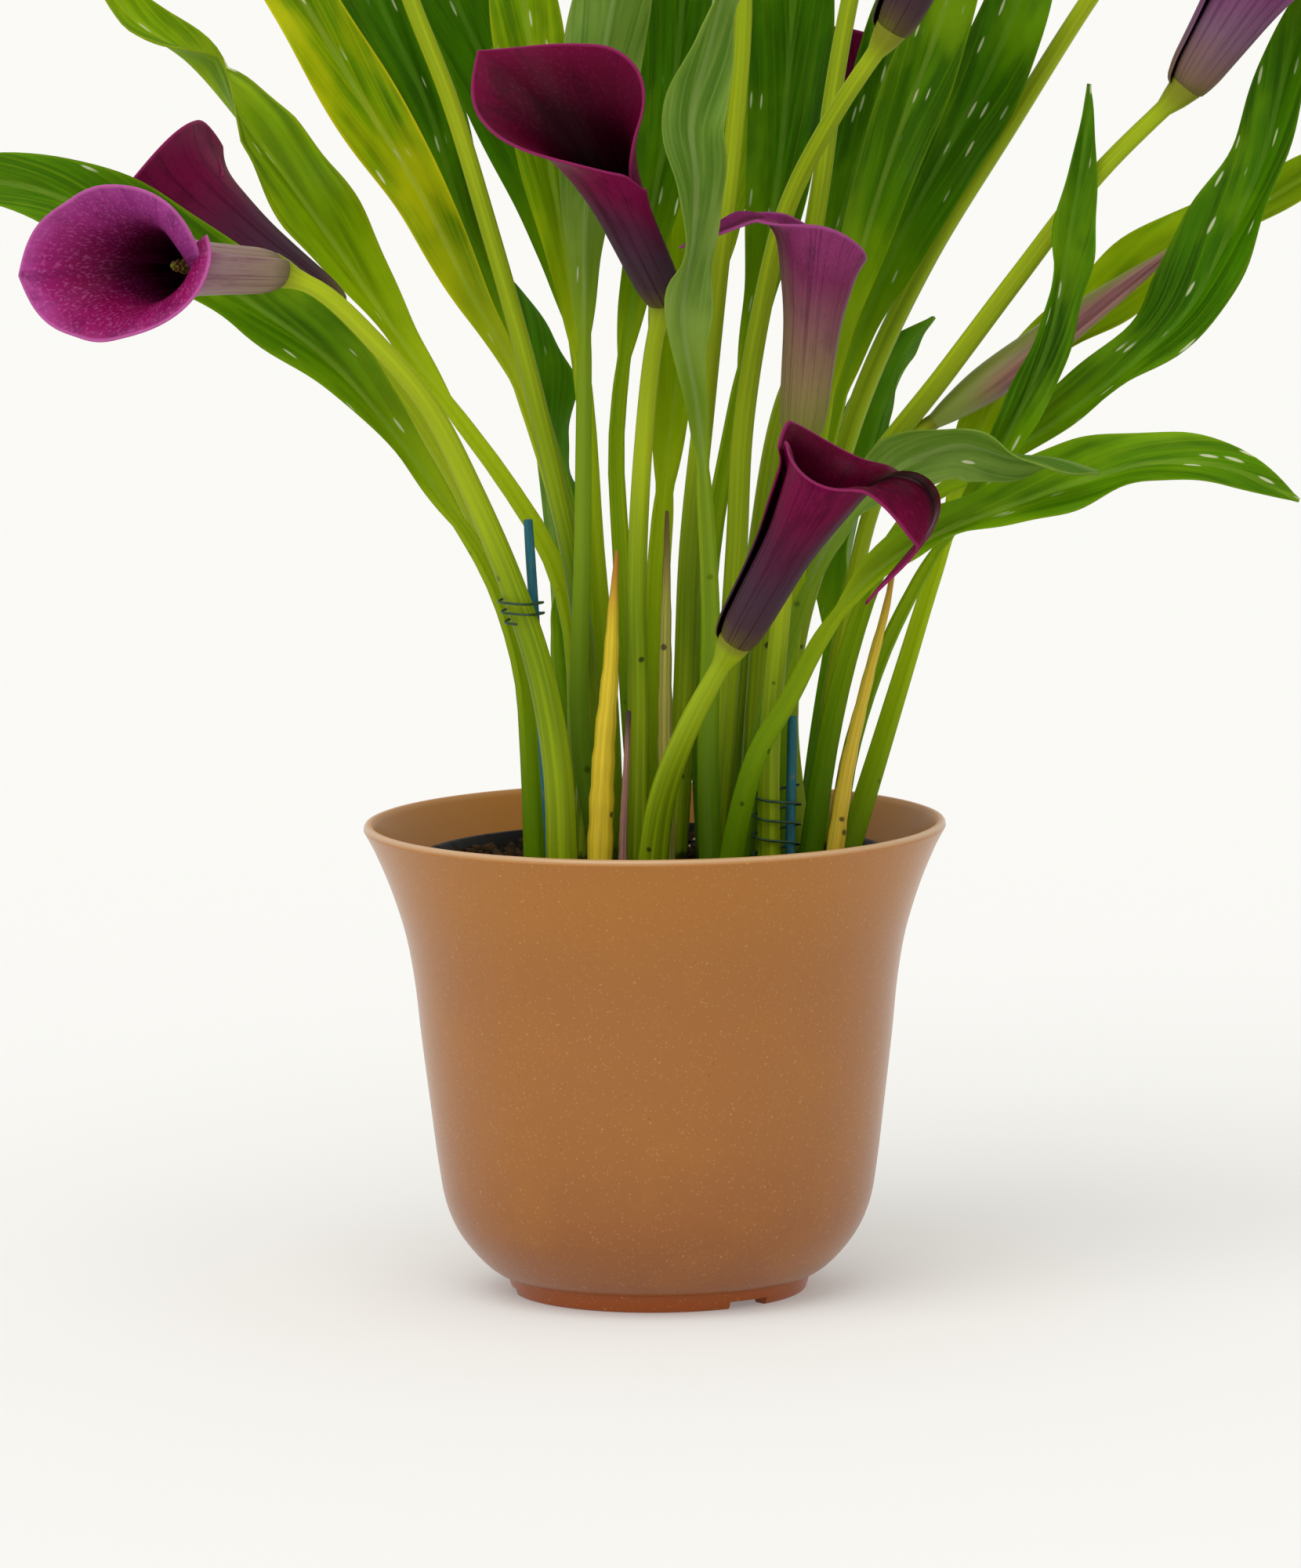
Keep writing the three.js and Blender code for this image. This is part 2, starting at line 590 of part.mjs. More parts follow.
// Flowers. 'exit' is where the stalk leaves the soil, 'path' leads to the foot of the spathe, 'axis' is
// the direction of its tube, and 'back' is the side on which its point stands.
const flowers = [
  {
    number: 1, exit: [-24, -27], finish: 'spathePink', axis: [-0.65, -0.75, 0.1], back: [-0.76, 0.64, -0.15],
    path: [[-25, -27, 141], [-29, -28, 166], [-36, -30, 189], [-46, -33, 214], [-57, -38, 237], [-71, -44, 255],
      [-84, -49, 268], [-96, -52, 274]], thick: 4.2,
    flareBack: 75, flareSide: 46, flareFront: 92, point: 10, taper: 60, length: 64, front: 57,
  },
  {
    number: 2, exit: [-27, -5], finish: 'spatheDark', axis: [-0.86, 0.15, 0.49], back: [-0.5, 0, -0.86],
    length: 72, front: 60, flareBack: 36, flareSide: 62, flareFront: 50, point: 0, taper: 20, onset: 36,
    cone: 21,
    path: [[-30, -5, 142], [-33, -4, 165], [-39, -4, 188], [-49, -6, 211], [-61, -9, 232], [-71, -9, 246],
      [-82, -9, 259]],
  },
  {
    number: 3, exit: [-5, -22], finish: 'spatheDark', axis: [-0.38, -0.34, 0.86], back: [-0.55, 0.83, 0],
    path: [[-4, -22, 157], [-4, -26, 190], [-2, -31, 225], [1, -36, 252], [4, -38, 265]], thick: 3,
    flareBack: 60, flareSide: 48, flareFront: 25, length: 65, front: 40, point: 18, taper: 42, onset: 28,
  },
  {
    number: 4, exit: [29.5, -25], finish: 'spatheMauve', axis: [0.1, -0.02, 1], back: [-0.85, -0.42, 0],
    path: [[30, -27, 147], [33, -29, 180], [36, -31, 208], [38.5, -32, 229]], thick: 3,
    length: 56, front: 46, point: 28, taper: 15, flareBack: 112, flareSide: 32, flareFront: 30, onset: 46,
    settle: 66,
  },
  {
    number: 5, exit: [-1, -32], finish: 'spatheDark', axis: [0.45, -0.3, 0.84], back: [0.9, -0.2, -0.35],
    path: [[2, -39, 135], [9, -49, 155], [21, -58, 178]], thick: 4.1,
    length: 56, front: 63, point: 56, taper: 25, flareBack: 190, flareSide: 72, onset: 51, settle: 90,
  },
  {
    number: 6, exit: [38, 0], finish: 'spathePink', axis: [0.55, -0.1, 0.83], back: [0.8, 0.1, -0.5],
    path: [[35, 8, 153], [42, 6, 188], [54, 3, 211], [76, -3, 240], [96, -9, 267], [116, -14, 293],
      [139, -18, 316]], cone: 17,
  },
  {
    number: 7, exit: [15, -13], finish: 'spatheDark', axis: [0.45, -0.15, 0.88], back: [0.93, -0.2, -0.3],
    path: [[19, -12, 156], [22, -12, 197], [24, -10, 228], [29, -7, 258], [36, -8, 285], [48, -15, 309],
      [63, -24, 332]], length: 64, front: 64, flareBack: 180,
  },
  {
    number: 8, thick: 2.8, exit: [-19, -10], finish: 'spatheDark', axis: [-0.3, -0.15, 0.94],
    back: [-0.8, -0.4, -0.3],
    path: [[-17, 2, 154], [-20, -2, 188], [-26, -6, 219], [-33, -9, 249], [-42, -12, 283], [-51, -14, 314],
      [-61, -16, 341], [-67, -18, 361]],
  },
  {
    number: 9, exit: [5, -4], finish: 'spatheMauve', axis: [-0.1, 0, 1], back: [-0.3, 0.9, 0],
    path: [[8, -2, 154], [10, -4, 196], [14, -6, 233], [18, -6, 268], [22, -4, 300], [25, -4, 333],
      [25, -4, 357]],
  },
  {
    number: 10, exit: [25, -6], finish: 'spathePink', axis: [0.25, 0.3, 0.9], back: [0.6, 0.7, 0],
    path: [[27, 0, 153], [31, 2, 195], [36, 3, 228], [40, 2, 261], [45, 2, 291], [49, 4, 318], [54, 6, 343],
      [60, 9, 366]],
  },
  {
    number: 11, exit: [30, 21], finish: 'spatheMauve', axis: [0.5, 0.2, 0.85], back: [0.6, 0.6, -0.5],
    path: [[34, 28, 150], [43, 32, 191], [56, 36, 232], [73, 38, 267], [95, 38, 302], [116, 36, 335],
      [131, 32, 356]],
  },
  {
    number: 12, exit: [20, 16], finish: 'spatheDark', axis: [0.1, 0.45, 0.88], back: [-0.3, 0.8, -0.5],
    path: [[23, 26, 150], [28, 38, 191], [35, 44, 228], [46, 48, 252], [54, 50, 272]],
  },
];

// Leaves. 'blade' is the share of the free length at which the blade starts, 'width' its half width,
// 'face' the side that its hollow faces, and 'turn' its twist in degrees, evenly spaced from its foot to its tip.
const leaves = [
  {
    name: 'leaf_left_high', exit: [-22, 4], blade: 0.42, width: 13, face: [0.3, -0.9, 0.3],
    turn: [0, 0, 0, 0, 15, 80, 20, 10],
    path: [[-20, 8, 133], [-21, 8, 174], [-27, 8, 194], [-39, 8, 214], [-63, 14, 246], [-87, 25, 280],
      [-103, 34, 301], [-120, 40, 321], [-135, 43, 332], [-148, 45, 351]],
  },
  {
    name: 'leaf_left_low', exit: [-31, -16], blade: 0.30, width: 12.5, face: [0.2, -0.9, 0.4],
    path: [[-32, -15, 143], [-34, -15, 166], [-42, -17, 191], [-55, -20, 212], [-81, -26, 246], [-102, -32, 263],
      [-120, -37, 275], [-139, -40, 286], [-157, -40, 294], [-175, -36, 296], [-193, -28, 291]],
  },
  {
    name: 'leaf_yellow_edge', exit: [-17, 13], blade: 0.40, width: 10.5,
    path: [[-18, 16, 152], [-20, 13, 184], [-26, 9, 213], [-36, 4, 243], [-47, 0, 264], [-59, -3, 289],
      [-74, -3, 314], [-87, 0, 336], [-100, 8, 356], [-112, 20, 377]],
  },
  {
    name: 'leaf_speckled_left', exit: [-14, 22], blade: 0.45, width: 11, finish: 'leafDark',
    path: [[-14, 22, 152], [-18, 22, 185], [-27, 20, 222], [-38, 16, 256], [-49, 13, 283], [-57, 11, 310],
      [-68, 12, 335], [-79, 18, 359], [-88, 28, 379]],
  },
  {
    name: 'leaf_back_left', exit: [-9, 32], blade: 0.45, width: 11.5, finish: 'leafDark',
    path: [[-14, 32, 150], [-16, 34, 192], [-18, 34, 238], [-26, 32, 275], [-38, 30, 310], [-50, 32, 337],
      [-60, 38, 359], [-68, 50, 384]],
  },
  {
    name: 'leaf_mid_left', exit: [-11, 3], blade: 0.45, width: 10.5,
    path: [[-12, 8, 153], [-15, 10, 195], [-17, 9, 233], [-22, 6, 274], [-27, 6, 305], [-31, 8, 331],
      [-34, 14, 355], [-34, 26, 379]],
  },
  {
    name: 'leaf_pale_back', exit: [-13, -14], blade: 0.46, width: 12, face: [0, 1, 0.2], finish: 'leafPale',
    petiole: 2.8,
    path: [[-19, -10, 145], [-18, -13, 197], [-17, -14, 248], [-16, -13, 288], [-12, -8, 320], [-8, 0, 342],
      [-5, 12, 366], [-3, 27, 388]],
  },
  {
    name: 'leaf_dark_tall', exit: [-3, -6], blade: 0.42, width: 12.5, finish: 'leafDark', petiole: 2.9,
    path: [[-6, -4, 154], [-8, -5, 195], [-9, -2, 224], [-5, 6, 256], [1, 14, 284], [7, 21, 315],
      [10, 28, 343], [12, 38, 369], [12, 52, 395]],
  },
  {
    name: 'leaf_front_wavy', exit: [14.5, -24], blade: 0.36, width: 8.5, finish: 'leafPale', petiole: 3.1,
    swing: 3.2, waves: 3.2, turn: [0, 0, 45, 5, 45, 10],
    path: [[14, -28, 145], [15, -34, 179], [14, -40, 208], [12, -46, 237], [8, -51, 261], [11, -55, 282],
      [12, -57, 296], [11, -58, 312], [16, -57, 332], [21, -52, 352], [26, -44, 373]],
  },
  {
    name: 'leaf_dark_wide', exit: [14, 0], blade: 0.42, width: 12.5, finish: 'leafDark',
    path: [[12.5, 12, 153], [15.5, 16, 193], [22.5, 22, 230], [29, 28, 260], [34, 34, 289], [37, 40, 315],
      [39, 46, 341], [41, 54, 366], [39, 66, 388]],
  },
  {
    name: 'leaf_right_bright', exit: [33, -12], blade: 0.42, width: 10,
    path: [[34, -4, 154], [38, -2, 187], [43, 2, 219], [49, 6, 248], [56, 10, 274], [65, 14, 301],
      [74, 18, 324], [82, 22, 347], [90, 30, 371]],
  },
  {
    name: 'leaf_right_inner', exit: [24, 6], blade: 0.45, width: 10, finish: 'leafDark',
    path: [[27, 22, 151], [33, 26, 192], [40, 30, 233], [46, 34, 262], [53, 38, 286], [61, 42, 311],
      [68, 46, 335], [76, 54, 361]],
  },
  {
    name: 'leaf_right_dark', exit: [33, 10], blade: 0.42, width: 11.5, finish: 'leafDark', swing: 3.6,
    path: [[32, 18, 152], [39, 20, 185], [45, 22, 215], [54, 24, 246], [66, 26, 274], [79, 28, 298],
      [90, 30, 318], [100, 34, 342], [108, 42, 366]],
  },
  {
    name: 'leaf_right_upright', exit: [46.5, -12], blade: 0.36, width: 7, finish: 'leafDark', petiole: 2.5,
    turn: [0, 0, 38, 30],
    path: [[51, -11, 142], [59, -13, 167], [69, -16, 188], [82, -19, 209], [93, -20, 228], [103, -21, 251],
      [108, -21, 278], [112, -20, 300], [114, -18, 317]],
  },
  {
    name: 'leaf_right_broad', exit: [40, -17], blade: 0.34, width: 11.5, face: [-0.3, -0.8, 0.5],
    swing: 3.4, finish: 'leafDark',
    path: [[45, -16, 145], [51, -16, 170], [59, -15, 192], [69, -9, 206], [84, -4, 215], [103, -4, 226],
      [123, -6, 241], [139, -9, 256], [150, -11, 276], [159, -11, 296], [165, -8, 318], [171, -2, 342]],
  },
  {
    name: 'leaf_right_light', exit: [50, 0], blade: 0.30, width: 9.5, face: [-0.2, -0.8, 0.5],
    path: [[59, 10, 140], [66, 12, 162], [73, 13, 184], [79, 13, 201], [86, 12, 224], [101, 14, 243],
      [121, 14, 258], [141, 13, 273], [160, 11, 283], [178, 12, 293], [194, 14, 297]],
  },
  {
    name: 'leaf_right_low', exit: [19, -31], blade: 0.32, width: 10, face: [-0.2, -0.8, 0.6],
    path: [[22, -35, 130], [27, -38, 147], [35, -36, 160], [44, -32, 176], [57, -30, 191], [73, -30, 201],
      [93, -32, 209], [113, -34, 216], [129, -35, 220], [147, -35, 219], [167, -33, 210]],
  },
  {
    name: 'leaf_right_curled', exit: [22, -20], blade: 0.40, width: 9, face: [0, -0.8, 0.6], finish: 'leafPale',
    turn: [0, 0, 20, 90, 150],
    path: [[27, -20, 145], [33, -18, 167], [41, -20, 188], [51, -26, 207], [65, -34, 220], [80, -38, 226],
      [93, -40, 223], [104, -42, 222], [115, -44, 219]],
  },
  {
    name: 'leaf_behind_left', exit: [-22, 26], blade: 0.32, width: 13, face: [0, 0.3, 1], finish: 'leafDark',
    path: [[-24, 36, 150], [-27, 50, 190], [-31, 62, 225], [-35, 72, 250], [-40, 79, 262]],
  },
  {
    name: 'leaf_behind_mid', exit: [3, 20], blade: 0.34, width: 14, face: [0, -0.3, 1],
    petiole: 4.2,
    path: [[0.5, 30, 160], [3.5, 42, 205], [10, 52, 250], [18, 62, 290], [24, 70, 330], [27, 82, 352]],
  },
  {
    name: 'leaf_behind_right', exit: [40, 22], blade: 0.32, width: 13, face: [0, 0.2, 1], finish: 'leafDark',
    path: [[45, 34, 150], [52, 48, 188], [60, 61, 218], [68, 72, 238], [76, 80, 248]],
  },
];

makePot();
makeNurseryPot();
for (const flower of flowers) {
  makeStalk(flower);
  makeSpathe(flower);
}
for (const leaf of leaves) {
  makeLeaf(leaf);
}
makeShoot('bud_stalk', [43, 9], [[46, 10, 152], [51, 10, 177], [58, 6, 206], [65.9, 1.7, 222.3], [74, 2, 228]],
  [2.4, 2.4, 2.3, 2.2, 2.2, 2.1], 'stalk');

// Closed bud, still rolled up, on the end of its stalk.
const budFoot = vec([74, 2, 228]);
const budAxis = vec([0.81, 0.03, 0.57]).normalize();
const budRadii = [[0.35, 2.1], [5, 3.3], [16, 4.9], [32, 4.9], [48, 3.9], [64, 2.5], [80, 0.6]];
add('bud', loft(budRadii.map(([height, radius]) => {
  return ring(budFoot.clone().addScaledVector(budAxis, height), budAxis, radius, 9);
})), 'bud');

makeShoot('sheath_yellow', [-14.5, -30], [[-13, -29, 145], [-11, -28, 168], [-10, -27, 186], [-9, -26, 198]],
  [3.4, 3.2, 2.6, 1.7, 0.5], 'sheathYellow');
makeShoot('sheath_pink', [-8.5, -31], [[-8, -32, 129], [-7, -32, 146], [-6.5, -32, 157]], [1.2, 1, 0.8, 0.7],
  'sheathPink');
makeShoot('sheath_brown', [3, -23.5], [[3, -23.5, 137], [3, -24, 157], [3.5, -24, 182], [4, -24, 208]],
  [2.4, 2.2, 1.8, 1.3, 0.5], 'sheathBrown');
makeShoot('sheath_right', [46, -25], [[50, -24, 140], [56, -23, 165], [61, -22, 184], [63, -21, 196]],
  [2.4, 2.1, 1.7, 1.2, 0.5], 'sheathYellow');

makeStick('stake_left', [-32, -23.5, 206], [-27, -19.8]);
makeStick('stake_right', [36, -23, 154], [35, -24]);
makeTie('tie_left', [[-33.3, -29.4, 180], [-34.9, -29.8, 186]], [[-30.6, -22.5, 180], [-30.9, -22.7, 186]],
  3.8, 2.2);
makeTie('tie_right', [[29.6, -25.4, 118], [29.9, -26.4, 136]], [[35.1, -23.9, 118], [35.6, -23.5, 136]],
  3, 3.5);
makeSoil();

export default model;
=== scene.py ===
import math
import random

import bmesh
import bpy
import numpy as np
from mathutils import Matrix, Vector


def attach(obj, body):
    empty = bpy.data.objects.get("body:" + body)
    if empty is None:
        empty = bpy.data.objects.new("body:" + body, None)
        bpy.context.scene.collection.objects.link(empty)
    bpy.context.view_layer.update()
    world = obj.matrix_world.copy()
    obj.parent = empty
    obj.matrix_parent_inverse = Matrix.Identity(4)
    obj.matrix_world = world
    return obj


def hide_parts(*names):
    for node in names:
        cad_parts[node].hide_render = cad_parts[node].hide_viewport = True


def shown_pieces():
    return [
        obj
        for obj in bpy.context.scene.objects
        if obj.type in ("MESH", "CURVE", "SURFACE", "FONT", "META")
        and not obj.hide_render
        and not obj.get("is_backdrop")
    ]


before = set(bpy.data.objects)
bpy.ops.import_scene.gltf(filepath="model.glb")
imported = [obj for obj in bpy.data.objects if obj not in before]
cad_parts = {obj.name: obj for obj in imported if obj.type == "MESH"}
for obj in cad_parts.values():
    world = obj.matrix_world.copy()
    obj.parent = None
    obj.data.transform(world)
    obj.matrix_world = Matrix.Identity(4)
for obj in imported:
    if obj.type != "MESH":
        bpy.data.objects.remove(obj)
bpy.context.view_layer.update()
mm = 0.001
print("frame loaded:", len(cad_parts), "solids")


# small helpers for shapes, in millimetres as in the part's source

def unit(values):
    values = np.asarray(values, float)
    return values / np.linalg.norm(values)


def smooth(low, high, x):
    t = np.clip((np.asarray(x, float) - low) / (high - low), 0, 1)
    return t * t * (3 - 2 * t)


def summed(steps):
    return np.concatenate([[0], np.cumsum(steps)])


def walked(points):
    # length of the way from the first point to each
    return summed(np.linalg.norm(np.diff(points, axis=0), axis=1))


def evenly(share, values):
    # value at a share of the way through a list of evenly spaced ones
    return np.interp(share, np.linspace(0, 1, len(values)), values)


def turnAbout(v, axis, degrees):
    a = math.radians(degrees)
    return v * math.cos(a) + np.cross(axis, v) * math.sin(a) + axis * np.dot(axis, v) * (1 - math.cos(a))


def crossFrame(tangent, wanted, degrees=0.0):
    # two directions square to the tangent, the second one as near as can be to the wanted one
    side = unit(np.cross(tangent, wanted))
    face = unit(np.cross(side, tangent))
    return turnAbout(side, tangent, degrees), turnAbout(face, tangent, degrees)


class Route:
    # smooth curve through hand-set points, read at a share of its length
    def __init__(self, points, perSpan=40):
        p = np.array(points, float)
        p = np.vstack([2 * p[0] - p[1], p, 2 * p[-1] - p[-2]])
        made = []
        for k in range(1, len(p) - 2):
            a, b, c, d = p[k - 1:k + 3]
            g0, g1, g2 = (max(1e-4, np.linalg.norm(v) ** 0.5) for v in (b - a, c - b, d - c))
            startPull = ((b - a) / g0 - (c - a) / (g0 + g1) + (c - b) / g1) * g1
            endPull = ((c - b) / g1 - (d - b) / (g1 + g2) + (d - c) / g2) * g1
            s = np.arange(perSpan)[:, None] / perSpan
            made.append((2 * s**3 - 3 * s**2 + 1) * b + (s**3 - 2 * s**2 + s) * startPull
                        + (3 * s**2 - 2 * s**3) * c + (s**3 - s**2) * endPull)
        self.points = np.vstack([*made, p[-2]])
        self.lengths = walked(self.points)
        self.length = self.lengths[-1]

    def at(self, share):
        s = np.clip(share, 0, 1) * self.length
        return np.array([np.interp(s, self.lengths, self.points[:, k]) for k in range(3)])

    def along(self, share):
        return unit(self.at(min(1, share + 0.004)) - self.at(max(0, share - 0.004)))


def link(name, data):
    made = bpy.data.objects.new(name, data)
    bpy.context.scene.collection.objects.link(made)
    return made


def fromBox(name, box):
    data = bpy.data.meshes.new(name)
    box.to_mesh(data)
    box.free()
    return link(name, data)


def reshape(piece, change):
    # one change to a piece's mesh, made in bmesh
    box = bmesh.new()
    box.from_mesh(piece.data)
    change(box)
    box.to_mesh(piece.data)
    box.free()
    return piece


def facesOut(box):
    bmesh.ops.recalc_face_normals(box, faces=box.faces)


def weld(box):
    bmesh.ops.remove_doubles(box, verts=box.verts, dist=0.001 * mm)
    facesOut(box)


def keepSmooth(piece, degrees=32):
    # smooth faces, with edges kept sharp where they meet at more than the angle
    def shade(box):
        for edge in box.edges:
            edge.smooth = len(edge.link_faces) != 2 or edge.calc_face_angle(0) <= math.radians(degrees)
        for face in box.faces:
            face.smooth = True
    return reshape(piece, shade)


def evaluated(piece):
    # the piece's mesh with its modifiers applied
    bpy.context.view_layer.update()
    return bpy.data.meshes.new_from_object(piece.evaluated_get(bpy.context.evaluated_depsgraph_get()))


def setFloats(data, attributes):
    for key, values in attributes.items():
        made = data.attributes.new(key, "FLOAT", "POINT")
        made.data.foreach_set("value", np.asarray(values, np.float32))


def meshPiece(name, points, faces, attributes=None):
    data = bpy.data.meshes.new(name)
    data.from_pydata((np.asarray(points) * mm).tolist(), [], faces)
    setFloats(data, attributes or {})
    data.polygons.foreach_set("use_smooth", [True] * len(data.polygons))
    data.update()
    return reshape(link(name, data), facesOut)


def doubleSheet(name, over, under, attributes):
    # closed body between two like grids of points; an attribute is one grid, or a pair for over and under
    rows, columns = over.shape[:2]
    low = rows * columns
    faces = []
    for i in range(rows - 1):
        for j in range(columns - 1):
            a = i * columns + j
            faces.append((a, a + 1, a + columns + 1, a + columns))
            faces.append((low + a, low + a + columns, low + a + columns + 1, low + a + 1))
        a, b = i * columns, i * columns + columns - 1
        faces.append((a, a + columns, low + a + columns, low + a))
        faces.append((b, low + b, low + b + columns, b + columns))
    for j in range(columns - 1):
        end = (rows - 1) * columns + j
        faces.append((j, low + j, low + j + 1, j + 1))
        faces.append((end, end + 1, low + end + 1, low + end))
    flat = {}
    for key, grid in attributes.items():
        pair = grid if isinstance(grid, tuple) else (grid, grid)
        flat[key] = np.concatenate([np.ravel(half) for half in pair])
    return meshPiece(name, np.vstack([over.reshape(-1, 3), under.reshape(-1, 3)]), faces, flat)


def claim(piece, material, slot, *nodes):
    piece.data.materials.clear()
    piece.data.materials.append(material)
    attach(piece, "root")
    if nodes:
        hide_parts(*nodes)


# one way to make nodes, for materials and for Geometry Nodes alike

def operator(operation, turned=False):
    # what one of Python's signs does with values: it adds a Math node
    def made(self, other):
        return self.math(operation, *((other, self) if turned else (self, other)))
    return made


class Value:
    # an output socket that takes part in sums
    __add__, __radd__ = operator("ADD"), operator("ADD", True)
    __sub__, __rsub__ = operator("SUBTRACT"), operator("SUBTRACT", True)
    __mul__, __rmul__ = operator("MULTIPLY"), operator("MULTIPLY", True)
    __truediv__, __lt__ = operator("DIVIDE"), operator("LESS_THAN")

    def __init__(self, tree, socket):
        self.tree = tree
        self.socket = socket

    def __abs__(self):
        return self.math("ABSOLUTE", self)

    def output(self, name):
        return Value(self.tree, self.socket.node.outputs[name])

    def math(self, operation, first, second=0.0):
        return self.tree.node("ShaderNodeMath", {"operation": operation}, {0: first, 1: second})

    def step(self, low, high):
        # 0 below low and 1 above high, with a soft change between
        ends = {0: self, 1: low, 2: high, 3: 0.0, 4: 1.0}
        return self.tree.node("ShaderNodeMapRange", {"interpolation_type": "SMOOTHSTEP"}, ends)


def paint(*screen):
    # a screen colour made linear for the shaders
    shares = [c / 255 for c in screen]
    return (*[c / 12.92 if c <= 0.04045 else ((c + 0.055) / 1.055) ** 2.4 for c in shares], 1.0)


class Nodes:
    # makes a tree's nodes; a colour is given as it shows on a screen, 0 to 255
    def __init__(self, tree):
        self.tree = tree

    def node(self, kind, settings=None, values=None, output=0):
        made = self.tree.nodes.new(kind)
        for key, value in (settings or {}).items():
            if key == "stops":
                self.setStops(made.color_ramp, value)
            else:
                setattr(made, key, value)
        for key, value in (values or {}).items():
            socket = made.inputs[key]
            if isinstance(value, Value):
                self.tree.links.new(value.socket, socket)
            else:
                socket.default_value = paint(*value) if socket.type == "RGBA" else value
        return Value(self, made.outputs[output]) if len(made.outputs) else made

    def setStops(self, ramp, stops):
        while len(ramp.elements) < len(stops):
            ramp.elements.new(0.5)
        for element, (place, colour) in zip(ramp.elements, stops):
            element.position = place
            element.color = paint(*colour)

    def vectors(self, operation, first, second=(0, 0, 0), scale=1.0, output=0):
        values = {0: first, 1: second, 3: scale}
        return self.node("ShaderNodeVectorMath", {"operation": operation}, values, output)


splashSpec = {"foot": (112, 124), "dirt": (36, 26, 12), "height": (170, 215), "speck": (30, 24, 10)}


class Finish(Nodes):
    # a material, built from expressions on its values, its colour coat by coat
    def __init__(self, name):
        self.material = bpy.data.materials.new(name)
        self.material.use_nodes = True
        super().__init__(self.material.node_tree)
        self.tree.nodes.clear()

    def place(self):
        # place on the object, in millimetres
        return self.vectors("SCALE", self.node("ShaderNodeTexCoord", output="Object"), scale=1 / mm)

    def height(self):
        return self.node("ShaderNodeSeparateXYZ", {}, {0: self.place()}, 2)

    def attribute(self, name, output="Fac"):
        return self.node("ShaderNodeAttribute", {"attribute_name": name}, output=output)

    def attributes(self, *names):
        return [self.attribute(name) for name in names]

    def vector(self, x, y, z):
        return self.node("ShaderNodeCombineXYZ", values={0: x, 1: y, 2: z})

    def stretch(self, vector, x, y, z):
        return self.vectors("MULTIPLY", vector, (x, y, z))

    def noise(self, vector, scale, detail=2.0, rough=0.5):
        values = {"Vector": vector, "Scale": scale, "Detail": detail, "Roughness": rough}
        return self.node("ShaderNodeTexNoise", {}, values, "Fac")

    def grain(self, x, y, z, detail=2.0, rough=0.5):
        # noise over three values of the surface's own
        return self.noise(self.vector(x, y, z), 1.0, detail, rough)

    def streaks(self, count, stretch, detail=3.0):
        # lines that follow a swept tube, from its 'ring' and 'along' attributes
        around = self.stretch(self.attribute("ring", "Vector"), count, count, 0)
        along = self.vector(0.0, 0.0, self.attribute("alongMm") * stretch)
        return self.noise(self.vectors("ADD", around, along), 1.0, detail, 0.6)

    def cells(self, vector, scale, output="Distance"):
        return self.node("ShaderNodeTexVoronoi", {}, {"Vector": vector, "Scale": scale}, output)

    def specks(self, vector, scale, size, chosen):
        # a dot in each of the chosen cells
        dots = 1 - self.cells(vector, scale).step(*size)
        return dots * self.cells(vector, scale, "Color").step(*chosen)

    def ramp(self, value, stops):
        return self.node("ShaderNodeValToRGB", {"stops": stops}, {0: value}, "Color")

    def mix(self, share, first, second):
        return self.node("ShaderNodeMix", {"data_type": "RGBA"}, {0: share, 6: first, 7: second}, 2)

    def coat(self, share, colour):
        self.tone = self.mix(share, self.tone, colour)

    def splash(self, spec):
        # potting mix on the foot of a stem, and specks of it higher up
        dirt = self.noise(self.stretch(self.place(), 1, 1, 0.5), 0.55, 4.0, 0.7) * 0.8 + 0.1
        near = 1 - self.height().step(*spec["foot"])
        self.coat((near + dirt - 1).step(0.06, 0.3) * 0.85, spec["dirt"])
        dots = self.specks(self.place(), 0.16, (0.1, 0.17), (0.68, 0.72))
        self.coat(dots * (1 - self.height().step(*spec["height"])) * 0.85, spec["speck"])

    def done(self, rough, relief=None, gloss=0.5, glow=None, more=None):
        # relief: height, strength and depth in mm; glow: a colour that shines through, and its share
        values = {"Base Color": self.tone, "Roughness": rough, "Specular IOR Level": gloss, **(more or {})}
        if relief:
            height, strength, depth = relief
            bump = {"Height": height, "Strength": strength, "Distance": depth * mm}
            values["Normal"] = self.node("ShaderNodeBump", {}, bump)
        shader = self.node("ShaderNodeBsdfPrincipled", {}, values)
        if glow:
            through = self.node("ShaderNodeBsdfTranslucent", {}, {"Color": glow[0]})
            shader = self.node("ShaderNodeMixShader", {}, {0: glow[1], 1: shader, 2: through})
        self.node("ShaderNodeOutputMaterial", {}, {"Surface": shader})
        return self.material


